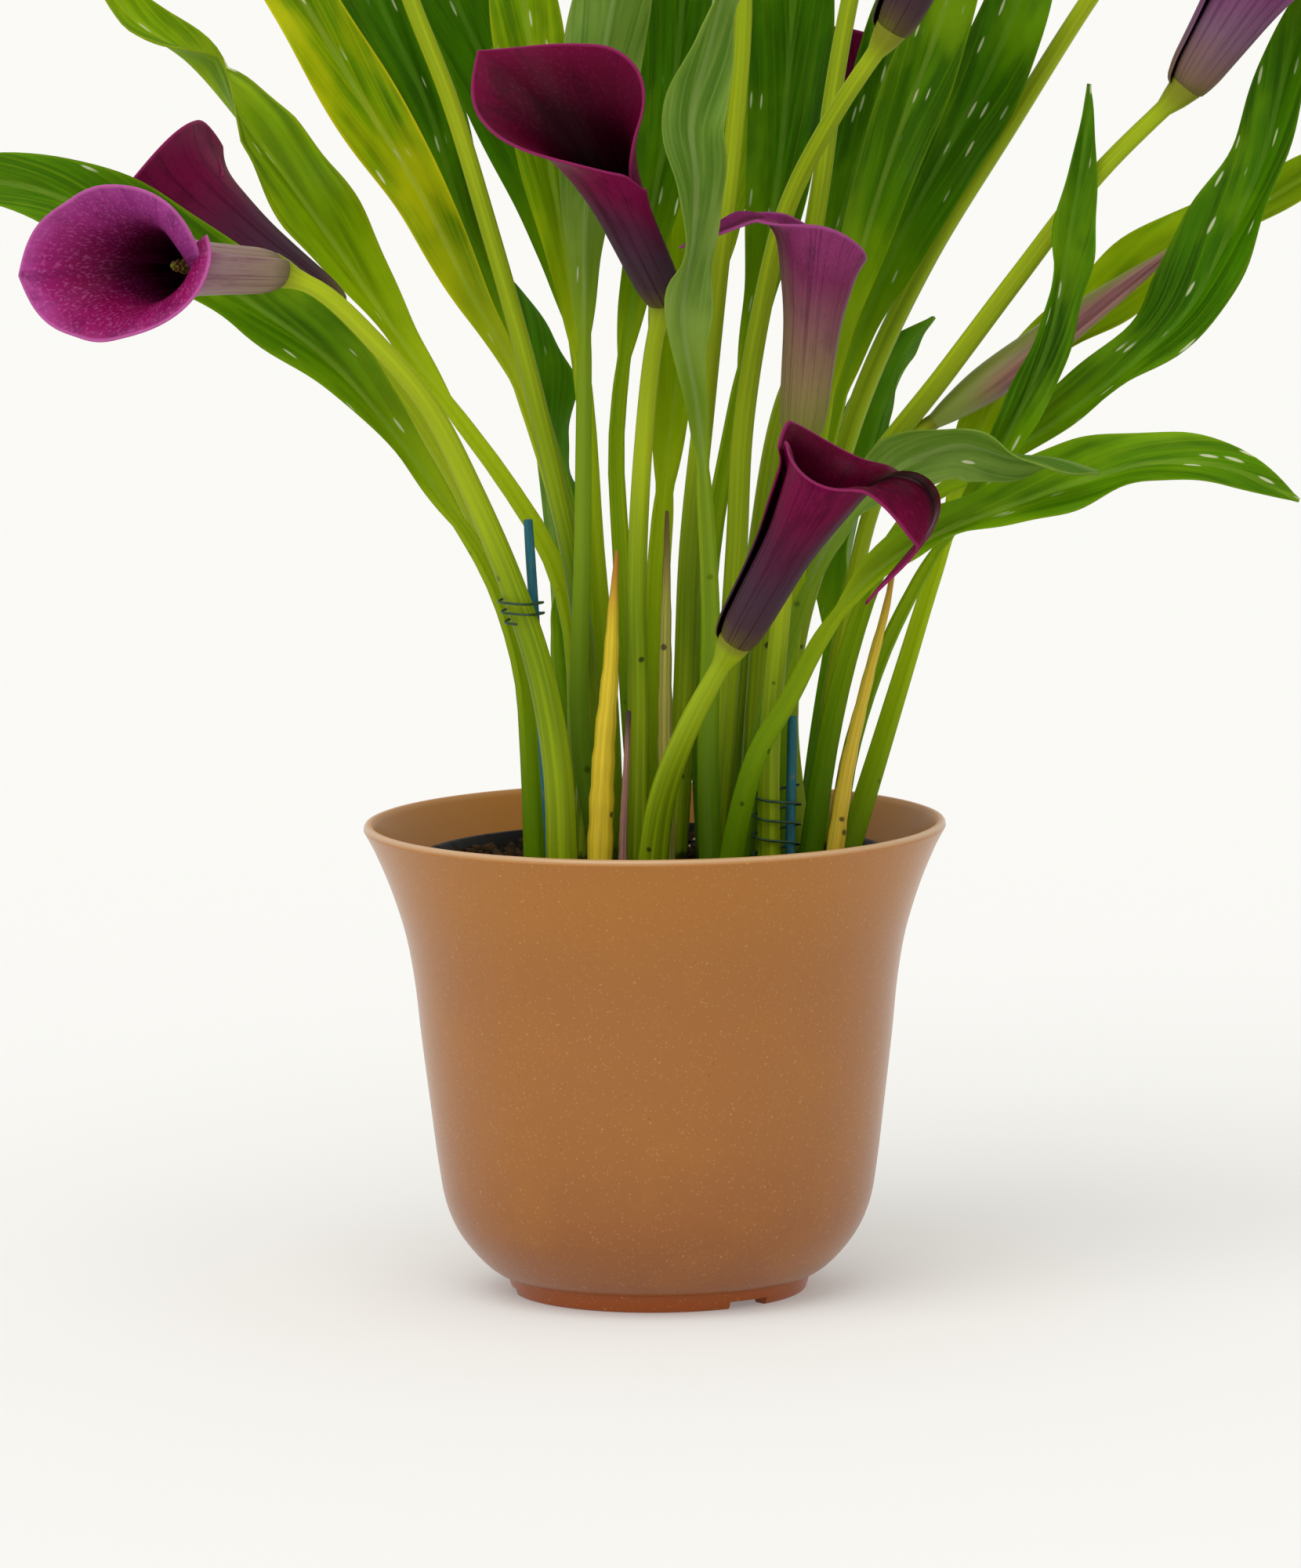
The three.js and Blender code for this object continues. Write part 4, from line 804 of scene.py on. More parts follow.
leaves = {
    "leaf_left_high": {
        "exit": (-22, 4), "blade": 0.42, "width": 13, "face": (0.3, -0.9, 0.3),
        "turn": (0, 0, 0, 0, 15, 80, 20, 10),
        "path": [(-20, 8, 133), (-21, 8, 174), (-27, 8, 194), (-39, 8, 214), (-63, 14, 246), (-87, 25, 280),
                 (-103, 34, 301), (-120, 40, 321), (-135, 43, 332), (-148, 45, 351)]},
    "leaf_left_low": {
        "exit": (-31, -16), "blade": 0.3, "width": 12.5, "look": "mid", "face": (0.2, -0.9, 0.4),
        "path": [(-32, -15, 143), (-34, -15, 166), (-42, -17, 191), (-55, -20, 212), (-81, -26, 246),
                 (-102, -32, 263), (-120, -37, 275), (-139, -40, 286), (-157, -40, 294), (-175, -36, 296),
                 (-193, -28, 291)]},
    "leaf_yellow_edge": {
        "exit": (-17, 13), "blade": 0.4, "width": 10.5, "look": "edged",
        "path": [(-18, 16, 152), (-20, 13, 184), (-26, 9, 213), (-36, 4, 243), (-47, 0, 264),
                 (-59, -3, 289), (-74, -3, 314), (-87, 0, 336), (-100, 8, 356), (-112, 20, 377)]},
    "leaf_speckled_left": {
        "exit": (-14, 22), "blade": 0.45, "width": 11, "look": "dark",
        "path": [(-14, 22, 152), (-18, 22, 185), (-27, 20, 222), (-38, 16, 256), (-49, 13, 283),
                 (-57, 11, 310), (-68, 12, 335), (-79, 18, 359), (-88, 28, 379)]},
    "leaf_back_left": {
        "exit": (-9, 32), "blade": 0.45, "width": 11.5, "look": "dark",
        "path": [(-14, 32, 150), (-16, 34, 192), (-18, 34, 238), (-26, 32, 275), (-38, 30, 310),
                 (-50, 32, 337), (-60, 38, 359), (-68, 50, 384)]},
    "leaf_mid_left": {
        "exit": (-11, 3), "blade": 0.45, "width": 10.5,
        "path": [(-12, 8, 153), (-15, 10, 195), (-17, 9, 233), (-22, 6, 274), (-27, 6, 305), (-31, 8, 331),
                 (-34, 14, 355), (-34, 26, 379)]},
    "leaf_pale_back": {
        "exit": (-13, -14), "blade": 0.46, "width": 12, "face": (0, 1, 0.2), "petiole": 2.8, "look": "pale",
        "path": [(-19, -10, 145), (-18, -13, 197), (-17, -14, 248), (-16, -13, 288), (-12, -8, 320),
                 (-8, 0, 342), (-5, 12, 366), (-3, 27, 388)]},
    "leaf_dark_tall": {
        "exit": (-3, -6), "blade": 0.42, "width": 12.5, "petiole": 2.9, "look": "dark",
        "path": [(-6, -4, 154), (-8, -5, 195), (-9, -2, 224), (-5, 6, 256), (1, 14, 284), (7, 21, 315),
                 (10, 28, 343), (12, 38, 369), (12, 52, 395)]},
    "leaf_front_wavy": {
        "exit": (14.5, -24), "blade": 0.36, "width": 8.5, "petiole": 3.1, "swing": 3.2, "waves": 3.2,
        "look": "pale", "turn": (0, 0, 45, 5, 45, 10),
        "path": [(14, -28, 145), (15, -34, 179), (14, -40, 208), (12, -46, 237), (8, -51, 261),
                 (11, -55, 282), (12, -57, 296), (11, -58, 312), (16, -57, 332), (21, -52, 352),
                 (26, -44, 373)]},
    "leaf_dark_wide": {
        "exit": (14, 0), "blade": 0.42, "width": 12.5, "look": "dark",
        "path": [(12.5, 12, 153), (15.5, 16, 193), (22.5, 22, 230), (29, 28, 260), (34, 34, 289),
                 (37, 40, 315), (39, 46, 341), (41, 54, 366), (39, 66, 388)]},
    "leaf_right_bright": {
        "exit": (33, -12), "blade": 0.42, "width": 10, "look": "mid",
        "path": [(34, -4, 154), (38, -2, 187), (43, 2, 219), (49, 6, 248), (56, 10, 274), (65, 14, 301),
                 (74, 18, 324), (82, 22, 347), (90, 30, 371)]},
    "leaf_right_inner": {
        "exit": (24, 6), "blade": 0.45, "width": 10, "look": "dark",
        "path": [(27, 22, 151), (33, 26, 192), (40, 30, 233), (46, 34, 262), (53, 38, 286), (61, 42, 311),
                 (68, 46, 335), (76, 54, 361)]},
    "leaf_right_dark": {
        "exit": (33, 10), "blade": 0.42, "width": 11.5, "swing": 3.6, "look": "dark",
        "path": [(32, 18, 152), (39, 20, 185), (45, 22, 215), (54, 24, 246), (66, 26, 274), (79, 28, 298),
                 (90, 30, 318), (100, 34, 342), (108, 42, 366)]},
    "leaf_right_upright": {
        "exit": (46.5, -12), "blade": 0.36, "width": 7, "petiole": 2.5, "turn": (0, 0, 38, 30),
        "look": "dark",
        "path": [(51, -11, 142), (59, -13, 167), (69, -16, 188), (82, -19, 209), (93, -20, 228),
                 (103, -21, 251), (108, -21, 278), (112, -20, 300), (114, -18, 317)]},
    "leaf_right_broad": {
        "exit": (40, -17), "blade": 0.34, "width": 11.5, "face": (-0.3, -0.8, 0.5), "swing": 3.4,
        "look": "dark",
        "path": [(45, -16, 145), (51, -16, 170), (59, -15, 192), (69, -9, 206), (84, -4, 215),
                 (103, -4, 226), (123, -6, 241), (139, -9, 256), (150, -11, 276), (159, -11, 296),
                 (165, -8, 318), (171, -2, 342)]},
    "leaf_right_light": {
        "exit": (50, 0), "blade": 0.3, "width": 9.5, "face": (-0.2, -0.8, 0.5),
        "path": [(59, 10, 140), (66, 12, 162), (73, 13, 184), (79, 13, 201), (86, 12, 224), (101, 14, 243),
                 (121, 14, 258), (141, 13, 273), (160, 11, 283), (178, 12, 293), (194, 14, 297)]},
    "leaf_right_low": {
        "exit": (19, -31), "blade": 0.32, "width": 10, "look": "mid", "face": (-0.2, -0.8, 0.6),
        "path": [(22, -35, 130), (27, -38, 147), (35, -36, 160), (44, -32, 176), (57, -30, 191),
                 (73, -30, 201), (93, -32, 209), (113, -34, 216), (129, -35, 220), (147, -35, 219),
                 (167, -33, 210)]},
    "leaf_right_curled": {
        "exit": (22, -20), "blade": 0.4, "width": 9, "face": (0, -0.8, 0.6), "turn": (0, 0, 20, 90, 150),
        "look": "pale",
        "path": [(27, -20, 145), (33, -18, 167), (41, -20, 188), (51, -26, 207), (65, -34, 220),
                 (80, -38, 226), (93, -40, 223), (104, -42, 222), (115, -44, 219)]},
    "leaf_behind_left": {
        "exit": (-22, 26), "blade": 0.32, "width": 13, "face": (0, 0.3, 1), "look": "dark",
        "path": [(-24, 36, 150), (-27, 50, 190), (-31, 62, 225), (-35, 72, 250), (-40, 79, 262)]},
    "leaf_behind_mid": {
        "exit": (3, 20), "blade": 0.34, "width": 14, "face": (0, -0.3, 1), "petiole": 4.2,
        "path": [(0.5, 30, 160), (3.5, 42, 205), (10, 52, 250), (18, 62, 290), (24, 70, 330),
                 (27, 82, 352)]},
    "leaf_behind_right": {
        "exit": (40, 22), "blade": 0.32, "width": 13, "face": (0, 0.2, 1), "look": "dark",
        "path": [(45, 34, 150), (52, 48, 188), (60, 61, 218), (68, 72, 238), (76, 80, 248)]},
}


def makeLeaf(name, own, seed):
    leaf = {**leafSpec, **own}
    blade, petiole = leaf["blade"], leaf["petiole"]
    shares = np.concatenate([np.linspace(0, blade, leaf["petioleRows"] + 1)[1:],
                             np.linspace(blade, 1, leaf["bladeRows"] + 1)[1:]])
    stations, length = shootStations(leaf["exit"], leaf["path"], shares)
    wanted = unit(leaf["face"])
    a = np.sin(np.linspace(-1, 1, leaf["columns"]) * math.pi / 2)
    grids = {}
    for centre, tangent, at in stations:
        t = max(0.0, (at - blade) / (1 - blade))
        opened = float(smooth(0, 0.2, t))
        stem = petiole * (1 - leaf["taper"] * min(1, max(0, at) / blade))
        side, up = crossFrame(tangent, wanted, evenly(t, leaf["turn"]))
        shape = 3.91 * t**1.15 * max(0, 1 - t)**0.85  # 1 where the blade is widest
        half = max(stem * (1 - opened) + 0.5 * opened, leaf["width"] * shape)
        half *= 1 + 0.03 * opened * math.sin(23 * t + 9 * seed)
        angle = math.radians(opened * (leaf["fold"] + leaf["foldMore"] * (1 - t)**2))
        swing = leaf["swing"] * opened * math.sin(math.pi * t)
        turns = 2 * math.pi * leaf["waves"] * t
        wave = swing * a**2 * np.sin(turns + 1.9 * np.sign(a))
        wave += 0.3 * swing * np.abs(a)**5 * np.sin(2.3 * turns + 5 * seed + 2.6 * np.sign(a))
        lift = np.abs(a) * half * math.sin(angle) + wave
        row = centre + np.outer(a * half * math.cos(angle), side) + np.outer(lift, up)
        tubed = stem * np.sqrt(np.maximum(0.02, 1 - a**2))
        groove = 0.55 * stem * (1 - np.minimum(1, (np.abs(a) / 0.6))**2) * max(0, min(1, at * 4))
        flat = leaf["thick"] / 2 * np.where(np.abs(a) > 0.9, leaf["edge"] / 0.5, 1)
        midrib = leaf["rib"] * opened * np.exp(-(a * half / 1.2)**2) * (1 - 0.6 * t)
        above = (tubed - groove) * (1 - opened) + (flat - 0.3 * midrib) * opened
        below = tubed * (1 - opened) + (flat + midrib) * opened
        made = {"over": row + np.outer(above, up), "under": row - np.outer(below, up), "across": a,
                "acrossMm": a * half, "along": np.full_like(a, t), "alongMm": np.full_like(a, at * length),
                "blade": np.full_like(a, opened), "seed": np.full_like(a, seed)}
        for key, values in made.items():
            grids.setdefault(key, []).append(values)
    grids = {key: np.array(values) for key, values in grids.items()}
    sheet = doubleSheet(name + "_fine", grids.pop("over"), grids.pop("under"), grids)
    claim(sheet, leafFinishes[leaf["look"]], leafLooks[leaf["look"]]["slot"], name)


random.seed(11)
for name, own in leaves.items():
    makeLeaf(name, own, random.random())
print(len(leaves), "leaves made")


# flowers: a stalk that ends in its spadix, and a spathe rolled round it

spatheSpec = {
    "columns": 121, "rows": 60, "reach": 200, "neck": 2.2, "wind": 0.26, "spread": 0.9, "sheet": 0.8,
    "steps": 60, "ripple": 0.7, "length": 62, "front": 54, "point": 24, "taper": 13, "flareBack": 150,
    "flareSide": 50, "flareFront": 45, "onset": 32, "settle": 200, "cone": 12, "lift": -0.3, "tuck": 15,
    "rounding": 6, "foot": (40, 0, 2), "waist": (9.5, 2, 9), "shoulder": (8, 22, 40),
}

spatheLooks = {
    "pink": {
        "slot": "spathe_pink",
        "outside": [(0.0, (112, 104, 70)), (0.14, (150, 128, 108)), (0.5, (154, 124, 126)),
                    (0.8, (140, 52, 112)), (1.0, (168, 60, 136))],
        "inside": [(0.0, (6, 0, 1)), (0.5, (16, 0, 4)), (0.66, (62, 0, 30)), (0.8, (112, 8, 62)),
                   (0.92, (146, 28, 100)), (1.0, (176, 72, 146))], "rim": (196, 104, 168),
        "vein": (86, 6, 58), "glow": (150, 16, 100), "sheenShare": 0.3, "above": (160, 66, 150),
        "below": (132, 6, 72)},
    "dark": {
        "slot": "spathe_dark",
        "outside": [(0.0, (98, 98, 34)), (0.05, (86, 72, 46)), (0.14, (70, 50, 56)), (0.3, (68, 46, 60)),
                    (0.52, (84, 32, 58)), (0.74, (112, 14, 60)), (1.0, (126, 14, 70))],
        "inside": [(0.0, (4, 0, 0)), (0.5, (10, 0, 1)), (0.7, (36, 0, 10)), (0.88, (78, 0, 30)),
                   (1.0, (106, 4, 50))], "rim": (158, 48, 104), "vein": (38, 2, 18), "glow": (110, 0, 36),
        "sheenShare": 0.08, "above": (84, 2, 36), "below": (74, 0, 28)},
    "lilac": {
        "slot": "spathe_pink",
        "outside": [(0.0, (106, 98, 46)), (0.07, (122, 96, 80)), (0.3, (120, 88, 108)),
                    (0.6, (122, 58, 108)), (1.0, (168, 60, 136))],
        "inside": [(0.0, (8, 0, 1)), (0.46, (20, 0, 4)), (0.76, (132, 16, 84)), (1.0, (178, 60, 140))],
        "rim": (196, 104, 168), "vein": (64, 34, 62), "glow": (150, 16, 100), "sheenShare": 0.3,
        "above": (150, 40, 110), "below": (132, 6, 72)},
    "mauve": {
        "slot": "spathe_mauve",
        "outside": [(0.0, (128, 132, 52)), (0.25, (138, 118, 80)), (0.52, (130, 84, 88)),
                    (0.76, (122, 44, 84)), (1.0, (148, 56, 112))],
        "inside": [(0.0, (18, 0, 4)), (0.45, (46, 2, 22)), (0.8, (96, 10, 60)), (1.0, (136, 40, 102))],
        "rim": (172, 84, 142), "vein": (66, 24, 44), "glow": (140, 24, 80), "sheenShare": 0.2,
        "above": (110, 24, 78), "below": (96, 10, 58)},
}


def spatheFinish(name, look):
    make = Finish("spathe " + name)
    along, across, inside, rimMm, seed = make.attributes("along", "across", "inside", "rimMm", "seed")
    lines = make.grain(across * 34, along * 0.9, seed * 30, 3.0, 0.6)
    fine = make.grain(across * 110, along * 1.6, seed * 60)
    cloud = make.grain(across * 3, along * 3, seed * 90, 3.0, 0.55)
    place = along + (cloud - 0.5) * 0.14 + (lines - 0.5) * 0.1
    # the outside ramp's greyish middle tones are partly the tube's own colour and partly a painted sheen
    outer = make.mix(lines.step(0.48, 0.7) * 0.5, make.ramp(place, look["outside"]), look["vein"])
    # the inside ramp runs near black towards the foot: partly the throat's own dark colour and partly
    # painted shade deep in the rolled tube
    make.tone = make.ramp(place, look["inside"])
    make.coat((1 - across.step(-0.7, 0.1)) * place.step(0.66, 0.92) * 0.6, look["above"])
    make.coat(across.step(-0.05, 0.4) * place.step(0.62, 0.8) * 0.5, look["below"])
    make.coat(lines.step(0.48, 0.68) * 0.34, look["vein"])
    make.tone = make.mix(inside, outer, make.tone)
    blotch = make.grain(across * 9, along * 5, seed * 40, 4.0, 0.7)
    make.coat(blotch.step(0.5, 0.66) * along * 0.4, look["vein"])
    # painted sheen: a fine speckle in the rim colour over the upper spathe stands in for the sheen of its
    # velvet
    velvetSheen = make.grain(across * 90, along * 60, seed * 20, 2.0, 0.6)
    make.coat(velvetSheen.step(0.52, 0.66) * along.step(0.5, 0.9) * look["sheenShare"], look["rim"])
    # painted highlight: the last millimetre of the rim is lighter, where the edge catches light
    make.coat((1 - rimMm.step(0.2, 1.2)) * 0.6, look["rim"])
    relief = lines * 0.6 + fine * 0.4
    return make.done(0.34 + fine * 0.16, (relief, 0.4, 0.35), gloss=0.05, glow=(look["glow"], 0.08))


spatheFinishes = {name: spatheFinish(name, look) for name, look in spatheLooks.items()}

stalkSpec = {
    "thick": 3.3, "collar": 2.2, "rows": 60, "sides": 18,
    "spadix": [(3, 2.3), (9, 2.6), (26, 2.5), (34, 1.9), (38, 0.7)], "green": (136, 166, 0),
    "light": (200, 214, 38), "deep": (66, 104, 0), "glow": (190, 214, 4), "neckTone": (112, 104, 34),
    "floret": 0.62, "floretTone": (104, 72, 34), "florets": 165, "floretLight": (150, 112, 52),
    "spadixRings": 14,
}


def stalkFinish(spec):
    make = Finish("flower stalk")
    along = make.attribute("along")
    streak = make.streaks(2.6, 0.012)
    cloud = make.noise(make.place(), 0.015, 1.0)
    make.tone = make.mix(streak.step(0.35, 0.72), spec["deep"], spec["green"])
    make.coat(cloud.step(0.3, 0.8) * 0.5, spec["light"])
    # painted light and shade: the stalk is lighter towards its top and darker near the foot, where the clump
    # shades it
    make.coat(along.step(0.2, 0.8) * 0.4, spec["light"])
    make.coat(along.step(0.95, 1.0) * 0.75, spec["neckTone"])
    make.splash(splashSpec)
    return make.done(0.38 + streak * 0.12, (streak, 0.35, 0.4), gloss=0.12, glow=(spec["glow"], 0.12))


def spadixFinish(spec):
    make = Finish("spadix")
    patch = make.noise(make.place(), 1.2).step(0.4, 0.7)
    make.tone = make.mix(patch, spec["floretTone"], spec["floretLight"])
    return make.done(0.7)


def floretRule():
    rule = Rule("florets on the spadix", {"Floret size": 0.0006})
    bead = {"Radius": rule.input("Floret size"), "Subdivisions": 1}
    bead = rule.node("GeometryNodeMeshIcoSphere", {}, bead, "Mesh")
    spots = {"Points": rule.input("Geometry"), "Instance": bead}
    return rule.end(rule.node("GeometryNodeInstanceOnPoints", {}, spots))


stalkGreen, spadixTone, florets = stalkFinish(stalkSpec), spadixFinish(stalkSpec), floretRule()

flowers = {
    1: {
        "exit": (-24, -27), "look": "pink", "axis": (-0.65, -0.75, 0.1), "back": (-0.76, 0.64, -0.15),
        "path": [(-25, -27, 141), (-29, -28, 166), (-36, -30, 189), (-46, -33, 214), (-57, -38, 237),
                 (-71, -44, 255), (-84, -49, 268), (-96, -52, 274)], "thick": 4.2, "flareBack": 75,
        "flareSide": 46, "flareFront": 92, "point": 10, "taper": 60, "length": 64, "front": 57},
    2: {
        "exit": (-27, -5), "look": "dark", "axis": (-0.86, 0.15, 0.49), "back": (-0.5, 0, -0.86),
        "length": 72, "front": 60, "flareBack": 36, "flareSide": 62, "flareFront": 50, "point": 0,
        "taper": 20, "onset": 36, "cone": 21,
        "path": [(-30, -5, 142), (-33, -4, 165), (-39, -4, 188), (-49, -6, 211), (-61, -9, 232),
                 (-71, -9, 246), (-82, -9, 259)]},
    3: {
        "exit": (-5, -22), "look": "dark", "axis": (-0.38, -0.34, 0.86), "back": (-0.55, 0.83, 0),
        "path": [(-4, -22, 157), (-4, -26, 190), (-2, -31, 225), (1, -36, 252), (4, -38, 265)], "thick": 3,
        "flareBack": 60, "flareSide": 48, "flareFront": 25, "length": 65, "front": 40, "point": 18,
        "taper": 42, "onset": 28},
    4: {
        "exit": (29.5, -25), "look": "mauve", "axis": (0.1, -0.02, 1), "back": (-0.85, -0.42, 0),
        "path": [(30, -27, 147), (33, -29, 180), (36, -31, 208), (38.5, -32, 229)], "thick": 3,
        "length": 56, "front": 46, "point": 28, "taper": 15, "flareBack": 112, "flareSide": 32,
        "flareFront": 30, "onset": 46, "settle": 66},
    5: {
        "exit": (-1, -32), "look": "dark", "axis": (0.45, -0.3, 0.84), "back": (0.9, -0.2, -0.35),
        "path": [(2, -39, 135), (9, -49, 155), (21, -58, 178)], "thick": 4.1, "length": 56, "front": 63,
        "point": 56, "taper": 25, "flareBack": 190, "flareSide": 72, "onset": 51, "settle": 90},
    6: {
        "exit": (38, 0), "look": "lilac", "axis": (0.55, -0.1, 0.83), "back": (0.8, 0.1, -0.5),
        "path": [(35, 8, 153), (42, 6, 188), (54, 3, 211), (76, -3, 240), (96, -9, 267), (116, -14, 293),
                 (139, -18, 316)], "cone": 17},
    7: {
        "exit": (15, -13), "look": "dark", "axis": (0.45, -0.15, 0.88), "back": (0.93, -0.2, -0.3),
        "path": [(19, -12, 156), (22, -12, 197), (24, -10, 228), (29, -7, 258), (36, -8, 285),
                 (48, -15, 309), (63, -24, 332)], "length": 64, "front": 64, "flareBack": 180},
    8: {
        "exit": (-19, -10), "thick": 2.8, "look": "dark", "axis": (-0.3, -0.15, 0.94),
        "back": (-0.8, -0.4, -0.3),
        "path": [(-17, 2, 154), (-20, -2, 188), (-26, -6, 219), (-33, -9, 249), (-42, -12, 283),
                 (-51, -14, 314), (-61, -16, 341), (-67, -18, 361)]},
    9: {
        "exit": (5, -4), "look": "mauve", "axis": (-0.1, 0, 1), "back": (-0.3, 0.9, 0),
        "path": [(8, -2, 154), (10, -4, 196), (14, -6, 233), (18, -6, 268), (22, -4, 300), (25, -4, 333),
                 (25, -4, 357)]},
    10: {
        "exit": (25, -6), "look": "pink", "axis": (0.25, 0.3, 0.9), "back": (0.6, 0.7, 0),
        "path": [(27, 0, 153), (31, 2, 195), (36, 3, 228), (40, 2, 261), (45, 2, 291), (49, 4, 318),
                 (54, 6, 343), (60, 9, 366)]},
    11: {
        "exit": (30, 21), "look": "mauve", "axis": (0.5, 0.2, 0.85), "back": (0.6, 0.6, -0.5),
        "path": [(34, 28, 150), (43, 32, 191), (56, 36, 232), (73, 38, 267), (95, 38, 302), (116, 36, 335),
                 (131, 32, 356)]},
    12: {
        "exit": (20, 16), "look": "dark", "axis": (0.1, 0.45, 0.88), "back": (-0.3, 0.8, -0.5),
        "path": [(23, 26, 150), (28, 38, 191), (35, 44, 228), (46, 48, 252), (54, 50, 272)]},
}


def flowerFrame(flower):
    axis = unit(flower["axis"])
    return np.array(flower["path"][-1], float), axis, *crossFrame(axis, flower["back"])


def spatheOutline(degrees, flower):
    # radius and height of the middle of the sheet, from its foot to its rim
    away = abs(degrees)
    body = flower["length"] + (flower["front"] - flower["length"]) * float(smooth(60, 200, away))
    body -= flower["tuck"] * float(smooth(140, 200, -degrees))
    body -= flower["rounding"] * float(smooth(165, 200, degrees))
    point = flower["point"] * math.exp(-away / flower["taper"])
    reach = body + point * (1 - 0.2 * float(smooth(0, 60, away)))
    flare = flower["flareBack"] + (flower["flareSide"] - flower["flareBack"]) * smooth(0, 60, away)
    flare += (flower["flareFront"] - flower["flareSide"]) * smooth(90, 190, away)
    bend = 1.15 + 0.85 * float(smooth(10, 70, away))
    stride = reach / flower["steps"]
    s = (np.arange(flower["steps"]) + 0.5) * stride
    foot, waist, shoulder = (flower[key][0] for key in ("foot", "waist", "shoulder"))
    low, middle, high = (smooth(*flower[key][1:], s) for key in ("foot", "waist", "shoulder"))
    lean = flower["cone"] + foot * (1 - low) - waist * middle + shoulder * high
    rolled = smooth(min(flower["onset"], reach - 12), min(flower["settle"], reach), s)**bend
    lean = np.radians(lean + (flare - 11) * rolled)
    radius = flower["neck"] + 1.6 + summed(np.sin(lean) * stride)
    height = flower["lift"] + summed(np.cos(lean) * stride)
    return radius, height, reach


def makeSpathe(number, own, seed):
    flower = {**spatheSpec, **own}
    base, axis, across, back = flowerFrame(flower)
    share = np.linspace(-1, 1, flower["columns"])
    degrees = flower["reach"] * np.sign(share) * np.abs(share)**1.35
    v = np.sin(np.linspace(0, 1, flower["rows"]) * math.pi / 2)**1.15
    marks = np.linspace(0, 1, flower["steps"] + 1)
    inner, outer, rim = [], [], []
    for angle in degrees:
        radius, height, reach = spatheOutline(angle, flower)
        turn = math.radians(angle)
        apart = math.copysign(flower["spread"], angle) * smooth(120, 200, abs(angle)) * smooth(0.25, 0.9, v)
        lean = flower["wind"] * turn + apart
        r, h, goOut, goUp = (np.interp(v, marks, values) for values in (
            radius, height, np.gradient(radius), np.gradient(height)))
        slope = np.arctan2(goOut, goUp)
        ripple = flower["ripple"] * smooth(0.55, 1, v) * math.sin(2.6 * turn + 6 * seed)
        r, h = r + (lean + ripple) * np.cos(slope), h - (lean + ripple) * np.sin(slope)
        # thinner towards the rim and the two margins; 57.3 degrees are a radian
        edge = np.minimum((1 - v) * reach, (flower["reach"] - abs(angle)) / 57.3 * r)
        half = flower["sheet"] / 2 * np.clip(0.3 + 0.7 * np.sqrt(np.clip(edge / 0.7, 0, 1)), 0, 1)
        for shift, side in ((half, inner), (-half, outer)):
            rr, hh = r - np.cos(slope) * shift, h + np.sin(slope) * shift
            side.append(base + np.outer(hh, axis) + np.outer(rr * math.cos(turn), back)
                        + np.outer(rr * math.sin(turn), across))
        rim.append((1 - v) * reach)
    blank = np.zeros((flower["rows"], flower["columns"]))
    attributes = {
        "along": blank + v[:, None], "across": blank + degrees / flower["reach"], "rimMm": np.array(rim).T,
        "seed": blank + seed, "inside": (blank + 1, blank)}
    inner, outer = (np.array(face).transpose(1, 0, 2) for face in (inner, outer))
    sheet = doubleSheet(f"spathe_{number}_fine", inner, outer, attributes)
    look = flower["look"]
    claim(sheet, spatheFinishes[look], spatheLooks[look]["slot"], f"spathe_{number}")


def makeStalk(number, flower, spec):
    thick, neck = flower.get("thick", spec["thick"]), spatheSpec["neck"]
    centres, shares, length = stemLine(flower["exit"], flower["path"], spec["rows"])
    base, axis = flowerFrame(flower)[:2]
    radii = [thick - (thick - neck) * at + spec["collar"] * smooth(length - 9, length, at * length)
             for at in shares]
    core = Route([(0, r, h) for h, r in spec["spadix"]])
    rings = spec["spadixRings"]
    for k in range(rings):
        radius, height = core.at((k + 1) / rings)[1:]
        centres.append(base + axis * height)
        radii.append(radius * 0.86)
    name = f"flower_stalk_{number}"
    stem = tube(name + "_fine", centres, radii, spec["sides"], stalkGreen, shares + [1.0] * rings)
    side = unit(np.cross(axis, (0.31, 0.22, 0.9)))
    beads = []
    for k in range(spec["florets"]):
        height, angle = 4 + 33.5 * k / spec["florets"], k * 2.39996
        radius = np.interp(height, *zip(*spec["spadix"])) * 0.84
        beads.append(base + axis * height + turnAbout(side, axis, math.degrees(angle)) * radius)
    dots = bpy.data.meshes.new("dots")
    dots.from_pydata((np.array(beads) * mm).tolist(), [], [])
    size = {"Floret size": spec["floret"] * mm, "Material": spadixTone}
    claim(florets.run(f"spadix_{number}", link("dots", dots), size), spadixTone, "stalk_green")
    claim(stem, stalkGreen, "stalk_green", name)


for number, flower in flowers.items():
    makeSpathe(number, flower, random.random())
    makeStalk(number, flower, stalkSpec)
print(len(flowers), "flowers made")


# bud: still rolled up, on the end of its stalk

budSpec = {
    "foot": (74, 2, 228), "axis": (0.81, 0.03, 0.57), "rows": 70, "sides": 40, "seam": 0.1, "twist": 0.9,
    "radii": [(-0.2, 2.08), (5, 3.3), (16, 4.9), (32, 4.9), (48, 3.9), (64, 2.5), (80, 0.6)],
    "green": (130, 146, 48), "rose": (160, 108, 98), "plum": (118, 62, 68),
    "exit": (43, 9), "stalk": [(46, 10, 152), (51, 10, 177), (58, 6, 206), (65.9, 1.7, 222.3), (74, 2, 228)],
    "stalkRadii": [2.4, 2.4, 2.3, 2.2, 2.2, 2.1], "stalkRows": 30, "stalkSides": 18,
}


